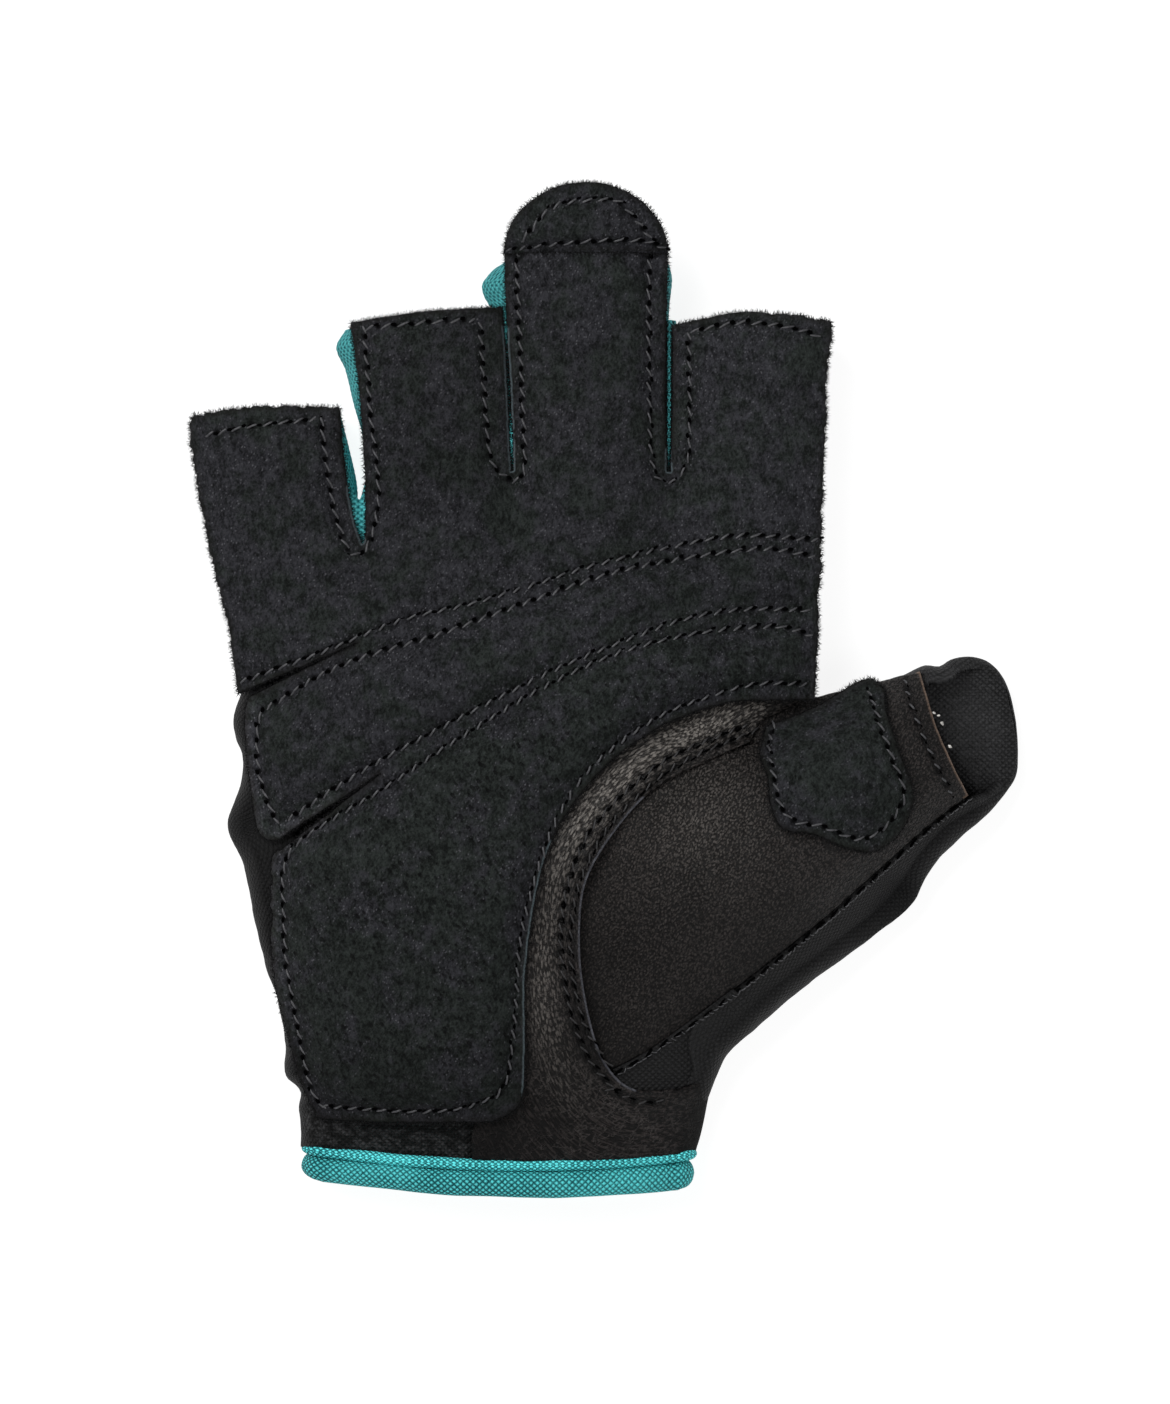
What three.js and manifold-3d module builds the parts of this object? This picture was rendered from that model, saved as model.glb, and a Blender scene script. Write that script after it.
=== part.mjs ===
// A fingerless weightlifting glove for the right hand, lying on its back with the palm up.
// Millimetres: +Y to the fingers, +X to the thumb, +Z out of the palm, z = 0 under the back.
import * as THREE from 'three';
import { mergeVertices } from 'three/addons/utils/BufferGeometryUtils.js';
import Module from 'manifold-3d';

const wasm = await Module();
wasm.setup();

const knit = 1.0;
const leather = 1.2;
const suede = 1.4;
const gap = 0.3;
const cell = 4.5;

const materials = {
  suede: new THREE.MeshStandardMaterial({ color: '#262a2b', roughness: 0.95, metalness: 0 }),
  leather: new THREE.MeshStandardMaterial({ color: '#241e1c', roughness: 0.55, metalness: 0 }),
  blackKnit: new THREE.MeshStandardMaterial({ color: '#17181a', roughness: 0.9, metalness: 0 }),
  tealKnit: new THREE.MeshStandardMaterial({ color: '#2f9b97', roughness: 0.85, metalness: 0 }),
};

// The form is the surface that the palm side is drawn over: its height over the table at x, y.
// Across the hand it is a crown from edge to middle height, row by row from the wrist up.
const handRows = [
  { y: -80, left: -47, right: 14.6, edge: 7.2, middle: 14.5 },
  { y: -70, left: -47.2, right: 14.8, edge: 7.5, middle: 15 },
  { y: -58, left: -50, right: 19, edge: 8.5, middle: 17.5 },
  { y: -40, left: -53.5, right: 25, edge: 9.5, middle: 19 },
  { y: -20, left: -57.5, right: 30, edge: 10, middle: 19.5 },
  { y: 0, left: -57.5, right: 33, edge: 10.5, middle: 19 },
  { y: 15, left: -60, right: 33.8, edge: 10.5, middle: 17 },
  { y: 30, left: -63, right: 34.3, edge: 10, middle: 14 },
];

// Where each finger's crown begins and ends: the outer sides of the hand and the three slits.
const fingerRows = [
  { y: 10, little: -59.5, ring: -37.2, middle: -13.6, index: 10.1, end: 33.6 },
  { y: 25, little: -62, ring: -37.9, middle: -14.2, index: 10.1, end: 34 },
  { y: 45, little: -64.5, ring: -39.2, middle: -14.9, index: 10.1, end: 34.6 },
  { y: 60, little: -64.5, ring: -40.2, middle: -15.7, index: 10.1, end: 35.6 },
  { y: 80, little: -64.5, ring: -40.4, middle: -15.7, index: 10.1, end: 36 },
];
const finger = { edge: 9.5, middle: 12.6, rootY: 6, freeY: 36 };

// The thumb's crown lies across an axis that leaves the palm to the upper right.
const thumb = { x: 53.3, y: -6.7, angle: THREE.MathUtils.degToRad(31) };
const thumbRows = [
  { s: -80, half: 24, edge: 3, middle: 9 },
  { s: -62, half: 25, edge: 8, middle: 17.5 },
  { s: -45, half: 23, edge: 10, middle: 22 },
  { s: -25, half: 17.5, edge: 10, middle: 22.5 },
  { s: -8, half: 13.5, edge: 9.5, middle: 19 },
  { s: 3, half: 12.4, edge: 9, middle: 16.5 },
  { s: 14, half: 11.5, edge: 8, middle: 13 },
];
const crownPower = 2.5;
const mergeSoftness = 1.2;

// The two quilted channels across the palm that part the finger panel, the middle pad and the heel pad.
const channelRows = [
  { x: -58, upper: -2.5, lower: -28 },
  { x: -47.5, upper: 2.6, lower: -21.5 },
  { x: -31, upper: 9.1, lower: -11 },
  { x: -15, upper: 14, lower: -1.8 },
  { x: 0, upper: 18.6, lower: 6 },
  { x: 16, upper: 22.2, lower: 10.6 },
  { x: 34, upper: 22.2, lower: 11.2 },
];
const pad = { middle: 1.4, heel: 2, halfChannel: 1.6, shoulder: 5 };

// A smooth reading of one column of a table at any value of its key column.
function reader(rows, key, name) {
  const last = rows.length - 1;
  const slopes = rows.map((row, i) => {
    const before = rows[Math.max(i - 1, 0)];
    const after = rows[Math.min(i + 1, last)];
    return (after[name] - before[name]) / (after[key] - before[key]);
  });
  return (at) => {
    const clamped = THREE.MathUtils.clamp(at, rows[0][key], rows[last][key]);
    const next = rows.findIndex((row) => row[key] > clamped);
    const i = next < 0 ? last - 1 : next - 1;
    const span = rows[i + 1][key] - rows[i][key];
    const t = (clamped - rows[i][key]) / span;
    const rise = rows[i + 1][name] - rows[i][name];
    const ease = t * t * (3 - 2 * t);
    const startPull = t * (1 - t) * (1 - t) * slopes[i] * span;
    const endPull = t * t * (t - 1) * slopes[i + 1] * span;
    return rows[i][name] + rise * ease + startPull + endPull;
  };
}

function readers(rows, key) {
  const names = Object.keys(rows[0]).filter((name) => name !== key);
  return Object.fromEntries(names.map((name) => [name, reader(rows, key, name)]));
}

const hand = readers(handRows, 'y');
const fingers = readers(fingerRows, 'y');
const thumbAt = readers(thumbRows, 's');
const channel = readers(channelRows, 'x');
const smooth = THREE.MathUtils.smoothstep;

function crown(u) {
  const a = Math.abs(u);
  return a < 1 ? 1 - a ** crownPower : -crownPower * (a - 1);
}

function across(x, left, right) {
  return (2 * x - left - right) / (right - left);
}

function handHeight(x, y) {
  const edge = hand.edge(y);
  return edge + (hand.middle(y) - edge) * crown(across(x, hand.left(y), hand.right(y)));
}

function fingerHeight(x, y) {
  const lines = ['little', 'ring', 'middle', 'index', 'end'].map((name) => fingers[name](y));
  const right = Math.max(1, lines.findIndex((line, i) => i > 0 && (x < line || i === 4)));
  return finger.edge + (finger.middle - finger.edge) * crown(across(x, lines[right - 1], lines[right]));
}

function thumbHeight(x, y) {
  const cos = Math.cos(thumb.angle);
  const sin = Math.sin(thumb.angle);
  const s = (x - thumb.x) * cos + (y - thumb.y) * sin;
  const t = (y - thumb.y) * cos - (x - thumb.x) * sin;
  const edge = thumbAt.edge(s);
  return edge + (thumbAt.middle(s) - edge) * crown(t / thumbAt.half(s));
}

function form(x, y) {
  const freed = smooth(y, finger.rootY, finger.freeY);
  const palm = THREE.MathUtils.lerp(handHeight(x, y), fingerHeight(x, y), freed);
  const ball = thumbHeight(x, y);
  const high = Math.max(palm, ball);
  return high + mergeSoftness * Math.log(1 + Math.exp(-Math.abs(palm - ball) / mergeSoftness));
}

// An outline in plan from stretches of points: one point is a straight line, more are a smooth curve.
function outline(start, ...stretches) {
  const shape = new THREE.Shape();
  shape.moveTo(...start);
  for (const stretch of stretches) {
    if (stretch.length === 1) shape.lineTo(...stretch[0]);
    else shape.splineThru(stretch.map(([x, y]) => new THREE.Vector2(x, y)));
  }
  return shape;
}

const suedeOutline = outline(
  [-64.5, 42.6],
  [[-60, 43.5], [-54, 44.2], [-41.2, 44.2]],
  [[-40.8, 38.3], [-39.9, 30.7], [-38.7, 25.2], [-37.8, 22.9]],
  [[-37.3, 25], [-37.5, 36.3], [-38.4, 48], [-39.6, 57.4]],
  [[-28.8, 58.9], [-15.9, 59.9]],
  [[-15.3, 50], [-14.9, 40], [-14.6, 34.2]],
  [[-14.2, 34.4]],
  [[-14.3, 40], [-14.9, 50], [-15.4, 60], [-15.6, 68]],
  [[-14.6, 71]],
  [[8.8, 71]],
  [[9.9, 68]],
  [[9.7, 50], [9.9, 34.2]],
  [[10.3, 34.2]],
  [[10.5, 50], [10.5, 57]],
  [[21.1, 58.9], [28, 58.6], [35.5, 57.6]],
  [[34.6, 45.3], [33.9, 23.5], [32.8, -1.5]],
  [[26.6, -1.5], [18.2, -2.1], [8.5, -5.7], [-0.1, -11.9], [-7.4, -21.6], [-10.5, -30.8], [-12.4, -44.2]],
  [[-12.4, -60.1]],
  [[-13.4, -64.6], [-17.5, -67]],
  [[-42, -67]],
  [[-47, -62.6], [-49.4, -56.7]],
  [[-51.2, -46], [-52.1, -35.8], [-51.6, -25.8]],
  [[-34.7, -12.9]],
  [[-48.4, -21.6]],
  [[-51.2, -23.3], [-53.6, -22.4], [-54.6, -19.4]],
  [[-55.9, -8], [-55.8, -2], [-54.6, -0.6]],
  [[-38.3, 7.4]],
  [[-55.3, 0.2]],
  [[-57.2, -0.6]],
  [[-58.7, 9.4], [-61.8, 23.5], [-64.5, 37.5], [-64.5, 42.6]],
);

const tabOutline = new THREE.Shape();
tabOutline.absellipse(-2.9, 68.2, 12.8, 10.8, 0, Math.PI, false, 0);

const palmLeatherOutline = outline(
  [31, 1.5],
  [[18, 1.5], [8, -1], [-3, -8], [-10, -17], [-15, -31], [-17.4, -45], [-17.4, -61]],
  [[-20.4, -68], [-20.6, -72.4]],
  [[-8, -72.5], [4, -72.3], [14, -71.3]],
  [[15, -65.6], [16.3, -60.9]],
  [[15.6, -60.5], [14, -61], [10.4, -62.2], [4.4, -62], [0.6, -58.6], [-1.6, -53.6], [-3.4, -45], [-3.8, -37],
    [-2.8, -29.5], [1.2, -22.4], [7.6, -15.4], [16.6, -10.7], [22.6, -8]],
  [[24.2, -4.8]],
  [[31, -1.6]],
);

const thumbLeatherOutline = outline(
  [32.6, -1.2],
  [[24, -2.6], [14, -6], [4, -11.4], [-3, -19], [-7.4, -28], [-8.6, -38], [-7.6, -48], [-2, -60.4]],
  [[7.1, -55.9], [16.8, -48.9], [33, -36.3], [42.2, -28.3], [50.2, -21.3], [56.8, -16.4]],
  [[54.4, -12], [51.3, -4.8], [49.3, 3]],
  [[45.6, 2.1], [40, 0.6], [36.4, -0.2], [32.6, -1.2]],
);

const thumbPatchOutline = outline(
  [25.2, -5.6],
  [[33.4, -2.4], [38.5, 0.8], [41.6, 1.8], [43.6, 0.1]],
  [[43.9, -4], [46.1, -10.8], [47.8, -16.3], [46.1, -21.6], [41.9, -24.9], [36.7, -24.1], [32.2, -22.1],
    [27.6, -21.3], [25.7, -17.8], [25.2, -13.2], [24, -10]],
);

const wristKnitOutline = outline(
  [-45, -60],
  [[-20, -60]],
  [[-20.8, -68], [-21, -72.4]],
  [[-32, -71.9], [-45, -70.6]],
);

// Plan outline of the flat back, inside the rolled sides, with a finger on each side of every slit.
const backOutline = outline(
  [-59.6, 42],
  [[-42.2, 42]],
  [[-41.4, 34], [-40, 26], [-37.9, 21.4]],
  [[-36.4, 26], [-36.8, 40], [-38.6, 56.6]],
  [[-16.6, 59]],
  [[-16, 46], [-15.4, 36], [-14.4, 32.6]],
  [[-13.4, 36], [-13.9, 50], [-14.7, 67.4]],
  [[9.2, 67.4]],
  [[9, 50], [9.1, 36], [10.1, 32.8]],
  [[11.2, 36], [11.4, 56.4]],
  [[30.2, 56.4]],
  [[29, 20], [28, -2.4]],
  [[27, -5]],
  [[11.6, -57]],
  [[8.4, -71.6]],
  [[-4, -72.4], [-24, -72.3], [-43, -70.6]],
  [[-45.6, -60], [-48, -44], [-52, -30], [-53, -20], [-52, -8], [-52.6, 2], [-56, 16], [-59, 32],
    [-59.6, 42]],
);

const thumbBackOutline = outline(
  [27.4, -5],
  [[32, -6]],
  [[37, -4.6], [44, -2.6], [52, 0.4], [57, 1], [60, -2], [60.6, -9], [59, -13], [55.6, -16.6], [51, -21]],
  [[40, -33.6], [26, -44.6], [14.6, -56]],
  [[12.4, -61], [10.4, -71.3]],
  [[8.8, -71.4]],
  [[12, -57]],
);

// The knit that closes the palm side between the thumb's seam and the bottom of the thumb hole.
const thumbKnitOutline = outline(
  [-2, -60.4],
  [[7.1, -55.9], [20, -46.4]],
  [[22, -49], [17, -55], [14, -60.4]],
  [[12, -64.4], [4, -64.8], [-2, -60.4]],
);

// Points down the little-finger side. The knit rolls up from the flat back, is widest at height `side`,
// and goes on over the palm side by `tuck`, `drop` under the form.
const handSideRows = [
  { x: -63.7, y: 42, side: 5, tuck: 2.5 },
  { x: -63.7, y: 37, side: 5, tuck: 2.5 },
  { x: -62.4, y: 29, side: 5, tuck: 2.5 },
  { x: -60.6, y: 20, side: 5, tuck: 2.5 },
  { x: -58.4, y: 10, side: 5, tuck: 3 },
  { x: -56.8, y: 1.5, side: 5.5, tuck: 4 },
  { x: -57.6, y: -4.5, side: 5.5, tuck: 5 },
  { x: -57.3, y: -7.5, side: 5.5, tuck: 5 },
  { x: -56.1, y: -10.4, side: 5.5, tuck: 4.5 },
  { x: -56.8, y: -15, side: 5.5, tuck: 5 },
  { x: -58.6, y: -19.6, side: 5.5, tuck: 11 },
  { x: -58.3, y: -23, side: 5.5, tuck: 12 },
  { x: -56.2, y: -26.6, side: 5.5, tuck: 9 },
  { x: -54.9, y: -32, side: 5.5, tuck: 6 },
  { x: -53.2, y: -41, side: 5, tuck: 4 },
  { x: -50.8, y: -50, side: 5, tuck: 3.5 },
  { x: -49.6, y: -58, side: 4.5, tuck: 4 },
  { x: -47.6, y: -63, side: 4.5, tuck: 5 },
  { x: -47.8, y: -67, side: 4.5, tuck: 5 },
  { x: -46.8, y: -70.7, side: 4.5, tuck: 5 },
];

const indexSideRows = [
  { x: 31.9, y: -1.2, side: 5, tuck: 2.5, drop: 1.6 },
  { x: 32.2, y: 4, side: 5, tuck: 2.5, drop: 1.6 },
  { x: 32.5, y: 10, side: 5, tuck: 2.5 },
  { x: 33.1, y: 23.5, side: 5, tuck: 2.5 },
  { x: 33.7, y: 43, side: 5, tuck: 2.5 },
  { x: 34.6, y: 56.6, side: 5, tuck: 2.5 },
];

// Round the thumb from its crotch to the wrist. `rise` is the share of its full height that the knit
// reaches: little at the tip, where the thumb comes out.
const thumbSideRows = [
  { x: 33.4, y: -2.4, side: 5, tuck: 2.5, drop: 3.2, rise: 1 },
  { x: 37, y: -1, side: 5, tuck: 2.5, drop: 3.2, rise: 1 },
  { x: 42.4, y: 0.5, side: 5, tuck: 2.5, drop: 3.2, rise: 1 },
  { x: 47, y: 2.2, side: 5, tuck: 2.5, drop: 3.2, rise: 1 },
  { x: 50, y: 3.4, side: 5, tuck: 2.5, drop: 2.6, rise: 1 },
  { x: 53.2, y: 4.1, side: 5, tuck: 2.2, drop: 2.2, rise: 1 },
  { x: 56.8, y: 5.2, side: 4.6, tuck: 2, drop: 1.8, rise: 0.9 },
  { x: 59.6, y: 4.5, side: 3.6, tuck: 1.6, drop: 1.8, rise: 0.7 },
  { x: 62.3, y: 1.4, side: 2, tuck: 0.8, drop: 1.8, rise: 0.4 },
  { x: 63.8, y: -4, side: 1.6, tuck: 0.6, drop: 1.8, rise: 0.27 },
  { x: 64.6, y: -9, side: 1.6, tuck: 0.6, drop: 1.8, rise: 0.27 },
  { x: 63.9, y: -13.4, side: 3, tuck: 1.4, drop: 1.8, rise: 0.55 },
  { x: 61.4, y: -16.6, side: 4.4, tuck: 1.8, drop: 1.8, rise: 0.9 },
  { x: 58.8, y: -19.4, side: 5, tuck: 3.4, drop: 1.5, rise: 1 },
  { x: 54.6, y: -23.2, side: 5, tuck: 4.8, drop: 1.5, rise: 1 },
  { x: 51, y: -27.2, side: 5, tuck: 5.6, drop: 1.5, rise: 1 },
  { x: 47.9, y: -32.6, side: 5, tuck: 7.5, drop: 1.5, rise: 1 },
  { x: 43, y: -37.1, side: 5, tuck: 7.7, drop: 1.5, rise: 1 },
  { x: 36, y: -42.4, side: 5, tuck: 7.2, drop: 1.5, rise: 1 },
  { x: 28.4, y: -48, side: 5, tuck: 7, drop: 1.5, rise: 1 },
  { x: 22, y: -53.6, side: 5, tuck: 7.3, drop: 1.5, rise: 1 },
  { x: 18.4, y: -57.6, side: 4.8, tuck: 6, drop: 1.5, rise: 1 },
  { x: 16.8, y: -60.4, side: 4.6, tuck: 4, drop: 1.6, rise: 1 },
  { x: 15.6, y: -64, side: 4.4, tuck: 4, drop: 1.6, rise: 1 },
  { x: 14.6, y: -68, side: 4.2, tuck: 4, drop: 1.6, rise: 1 },
  { x: 14, y: -71.3, side: 4, tuck: 4, drop: 1.6, rise: 1 },
];

const roll = { foot: 3, flat: 2, arcReach: 3, lowSteps: 3, highSteps: 3, runSteps: 2 };

// The knit's section at one row: outward offset and height, from under the back to the palm side.
function rollProfile(row, heightAt) {
  const { side, tuck, drop = 0, rise = 1 } = row;
  const points = [[-roll.foot - roll.flat, 0]];
  for (let i = 0; i <= roll.lowSteps; i += 1) {
    const turn = ((i / roll.lowSteps - 1) * Math.PI) / 2;
    points.push([-roll.foot + roll.foot * Math.cos(turn), side + side * Math.sin(turn)]);
  }
  const reach = Math.min(roll.arcReach, 0.6 * tuck);
  const top = (heightAt(-reach) - drop) * rise;
  for (let i = 1; i <= roll.highSteps; i += 1) {
    const turn = ((i / roll.highSteps) * Math.PI) / 2;
    points.push([-reach + reach * Math.cos(turn), side + (top - side) * Math.sin(turn)]);
  }
  for (let i = 1; i <= roll.runSteps; i += 1) {
    const out = -reach - ((tuck - reach) * i) / roll.runSteps;
    points.push([out, (heightAt(out) - drop) * rise]);
  }
  return points;
}

// The two faces of a sheet swept along rows in plan: its outer face and one `thick` inside it.
function sweep(rows, outward, thick, profileAt) {
  const faces = { outer: [], inner: [] };
  rows.forEach((row, i) => {
    const before = rows[Math.max(i - 1, 0)];
    const after = rows[Math.min(i + 1, rows.length - 1)];
    const along = new THREE.Vector2(after.x - before.x, after.y - before.y).normalize();
    const out = new THREE.Vector2(along.y, -along.x).multiplyScalar(outward);
    const place = ([offset, z]) => [row.x + out.x * offset, row.y + out.y * offset, z];
    const profile = profileAt(row, (offset) => form(row.x + out.x * offset, row.y + out.y * offset));
    const inside = profile.map(([offset, z], k) => {
      const [o0, z0] = profile[Math.max(k - 1, 0)];
      const [o1, z1] = profile[Math.min(k + 1, profile.length - 1)];
      const length = Math.hypot(o1 - o0, z1 - z0);
      return [offset - (thick * (z1 - z0)) / length, z + (thick * (o1 - o0)) / length];
    });
    faces.outer.push(profile.map(place));
    faces.inner.push(inside.map(place));
  });
  return faces;
}

// A closed solid between two grids of points, with its four rims closed.
function between(outer, inner) {
  const rows = outer.length;
  const columns = outer[0].length;
  const positions = [...outer, ...inner].flat(2);
  const at = (face, i, j) => (face * rows + i) * columns + j;
  const indices = [];
  const quad = (a, b, c, d) => indices.push(a, b, c, a, c, d);
  for (let i = 0; i < rows - 1; i += 1) {
    for (let j = 0; j < columns - 1; j += 1) {
      quad(at(0, i, j), at(0, i + 1, j), at(0, i + 1, j + 1), at(0, i, j + 1));
      quad(at(1, i, j), at(1, i, j + 1), at(1, i + 1, j + 1), at(1, i + 1, j));
    }
    quad(at(0, i, 0), at(1, i, 0), at(1, i + 1, 0), at(0, i + 1, 0));
    quad(at(0, i, columns - 1), at(0, i + 1, columns - 1), at(1, i + 1, columns - 1), at(1, i, columns - 1));
  }
  for (let j = 0; j < columns - 1; j += 1) {
    quad(at(0, 0, j), at(0, 0, j + 1), at(1, 0, j + 1), at(1, 0, j));
    quad(at(0, rows - 1, j), at(1, rows - 1, j), at(1, rows - 1, j + 1), at(0, rows - 1, j + 1));
  }
  return solidFrom(positions, indices);
}

// A solid from points and triangles, turned right side out.
function solidFrom(positions, indices) {
  let volume = 0;
  const corner = (k) => new THREE.Vector3().fromArray(positions, indices[k] * 3);
  for (let k = 0; k < indices.length; k += 3) {
    volume += corner(k).dot(corner(k + 1).cross(corner(k + 2)));
  }
  const triVerts = Uint32Array.from(volume < 0 ? [...indices].reverse() : indices);
  const vertProperties = Float32Array.from(positions);
  return new wasm.Manifold(new wasm.Mesh({ numProp: 3, vertProperties, triVerts }));
}

function solidFromGeometry(geometry) {
  geometry.deleteAttribute('normal');
  geometry.deleteAttribute('uv');
  const merged = mergeVertices(geometry, 1e-4);
  return solidFrom([...merged.attributes.position.array], [...merged.index.array]);
}

function prism(shape, low, high, curveSegments = 2) {
  const settings = { depth: high - low, bevelEnabled: false, curveSegments };
  const geometry = new THREE.ExtrudeGeometry(shape, settings);
  geometry.translate(0, 0, low);
  return solidFromGeometry(geometry);
}

// The same outline moved outwards all round.
function grown(shape, by) {
  const points = shape.getPoints(2);
  const turn = THREE.ShapeUtils.isClockWise(points) ? -by : by;
  const moved = points.map((point, i) => {
    const before = points[(i + points.length - 1) % points.length];
    const after = points[(i + 1) % points.length];
    const along = after.clone().sub(before).normalize();
    return new THREE.Vector2(point.x + along.y * turn, point.y - along.x * turn);
  });
  return new THREE.Shape(moved);
}

// A sheet over the form, cut to a plan outline, with its faces `low` and `high` over the form.
function panel(shape, low, high, { extra = () => 0, curveSegments = 2 } = {}) {
  const box = new THREE.Box2().setFromPoints(shape.getPoints(2));
  const under = [];
  const over = [];
  for (let x = (Math.floor(box.min.x / cell) - 1) * cell; x <= box.max.x + 2 * cell; x += cell) {
    const lowRow = [];
    const highRow = [];
    for (let y = (Math.floor(box.min.y / cell) - 1) * cell; y <= box.max.y + 2 * cell; y += cell) {
      const z = form(x, y);
      lowRow.push([x, y, z + low]);
      highRow.push([x, y, z + high + extra(x, y)]);
    }
    under.push(lowRow);
    over.push(highRow);
  }
  return between(over, under).intersect(prism(shape, -20, 60, curveSegments));
}

// How far the padding lifts the suede: two pads that thin out to the channels and to the outline.
const suedeEdge = suedeOutline.getPoints(2).map(({ x, y }) => new THREE.Vector3(x, y, 0));
function padding(x, y) {
  const here = new THREE.Vector3(x, y, 0);
  const nearest = new THREE.Vector3();
  let toEdge = Infinity;
  suedeEdge.forEach((point, i) => {
    const side = new THREE.Line3(point, suedeEdge[(i + 1) % suedeEdge.length]);
    side.closestPointToPoint(here, true, nearest);
    toEdge = Math.min(toEdge, here.distanceTo(nearest));
  });
  const upper = channel.upper(x) - y;
  const lower = channel.lower(x) - y;
  const lift = (room) => smooth(room - pad.halfChannel, 0, pad.shoulder);
  const middlePad = pad.middle * Math.min(lift(upper), lift(-lower));
  const heelPad = pad.heel * lift(lower);
  return Math.max(middlePad, heelPad) * smooth(toEdge, 0, pad.shoulder);
}

function rolledSide(rows, outward) {
  const { outer, inner } = sweep(rows, outward, knit, rollProfile);
  return between(outer, inner);
}

// A gusset between two fingers: a ribbon that stands on the back and bulges into the slit.
const gusset = { foot: knit + gap, under: 0.2, steps: 5, thick: 0.9 };
function gussetProfile({ bulge }, heightAt) {
  const top = heightAt(0) - gusset.under;
  return Array.from({ length: gusset.steps + 1 }, (unused, i) => {
    const share = i / gusset.steps;
    return [bulge * Math.sin(share * Math.PI), THREE.MathUtils.lerp(gusset.foot, top, share)];
  });
}

const gussetRows = {
  fourchette_little_ring: [
    { x: -42.1, y: 43.4, bulge: 0.6 },
    { x: -41.7, y: 38.3, bulge: 1.4 },
    { x: -40.9, y: 31.5, bulge: 1.5 },
    { x: -39.8, y: 25.6, bulge: 0.6 },
    { x: -38.7, y: 22.4, bulge: 0.3 },
    { x: -37.6, y: 21.7, bulge: 0.3 },
    { x: -36.7, y: 22.6, bulge: 0.3 },
    { x: -36.4, y: 26, bulge: 0.6 },
    { x: -36.6, y: 33, bulge: 0.6 },
    { x: -36.9, y: 39.5, bulge: 0.9 },
    { x: -37.3, y: 45, bulge: 2 },
    { x: -37.9, y: 50.8, bulge: 2.8 },
    { x: -38.4, y: 54.4, bulge: 3.7 },
    { x: -38.7, y: 56.8, bulge: 2 },
  ],
  fourchette_ring_middle: [
    { x: -16.8, y: 59.3, bulge: 0.5 },
    { x: -16.3, y: 53, bulge: 0.6 },
    { x: -15.9, y: 44, bulge: 0.6 },
    { x: -15.5, y: 35.6, bulge: 0.4 },
    { x: -15.1, y: 33.2, bulge: 0.2 },
    { x: -14.4, y: 32.6, bulge: 0.2 },
    { x: -13.7, y: 33.3, bulge: 0.2 },
    { x: -13.3, y: 36, bulge: 0.4 },
    { x: -13.7, y: 44, bulge: 0.6 },
    { x: -14.2, y: 53, bulge: 0.6 },
    { x: -14.5, y: 58.6, bulge: 0.8 },
    { x: -14.6, y: 60.6, bulge: 3.4 },
    { x: -14.7, y: 63.8, bulge: 4.5 },
    { x: -14.8, y: 65.8, bulge: 3 },
    { x: -14.8, y: 67.2, bulge: 0.9 },
  ],
  fourchette_middle_index: [
    { x: 9.2, y: 66.8, bulge: 1 },
    { x: 9.1, y: 64.6, bulge: 1.5 },
    { x: 9, y: 60.6, bulge: 1.2 },
    { x: 8.9, y: 52, bulge: 0.9 },
    { x: 8.9, y: 42, bulge: 0.9 },
    { x: 9.1, y: 35.4, bulge: 0.5 },
    { x: 9.5, y: 33.4, bulge: 0.2 },
    { x: 10.1, y: 32.9, bulge: 0.2 },
    { x: 10.8, y: 33.4, bulge: 0.2 },
    { x: 11.2, y: 35.4, bulge: 0.5 },
    { x: 11.3, y: 42, bulge: 0.9 },
    { x: 11.3, y: 52, bulge: 0.9 },
    { x: 11.4, y: 56.4, bulge: 0.6 },
  ],
};

function fourchette(rows) {
  const { outer, inner } = sweep(rows, -1, gusset.thick, gussetProfile);
  return between(outer, inner);
}

// The wrist's section, seen along the hand: flat below, rolled sides and the form on top.
const wrist = { y: -72, side: 4.5, reach: 3, sideSteps: 8, topSteps: 12, floorSteps: 8 };
wrist.left = hand.left(wrist.y);
wrist.right = hand.right(wrist.y);

function wristSide(edge, outward, upward) {
  const inner = edge - outward * wrist.reach;
  const top = form(inner, wrist.y);
  return Array.from({ length: wrist.sideSteps + 1 }, (unused, i) => {
    const turn = (i / wrist.sideSteps - 0.5) * Math.PI * upward;
    const height = turn < 0 ? wrist.side : top - wrist.side;
    return [inner + outward * wrist.reach * Math.cos(turn), wrist.side + height * Math.sin(turn)];
  });
}

function wristSection() {
  const from = wrist.left + wrist.reach;
  const to = wrist.right - wrist.reach;
  const top = Array.from({ length: wrist.topSteps - 1 }, (unused, i) => {
    const x = THREE.MathUtils.lerp(to, from, (i + 1) / wrist.topSteps);
    return [x, form(x, wrist.y)];
  });
  const floor = Array.from({ length: wrist.floorSteps - 1 }, (unused, i) => [
    THREE.MathUtils.lerp(from, to, (i + 1) / wrist.floorSteps),
    0,
  ]);
  return [...wristSide(wrist.right, 1, 1), ...top, ...wristSide(wrist.left, -1, -1), ...floor];
}

// A round roll of knit along the wrist's section, flush with its outside.
const cuff = {
  pipingY: -74.1,
  lift: 1.65,
  tilt: 0.45,
  pipingHalf: 1,
  bandHalf: 1.8,
  bandThin: 0.3,
  sides: 7,
};
const pipingCentre = (u) => cuff.pipingY + cuff.lift * u * u - cuff.tilt * u;
const bandHalf = (u) => cuff.bandHalf - cuff.bandThin * u * u;
const bandCentre = (u) => pipingCentre(u) - cuff.pipingHalf - gap - bandHalf(u);

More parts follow.
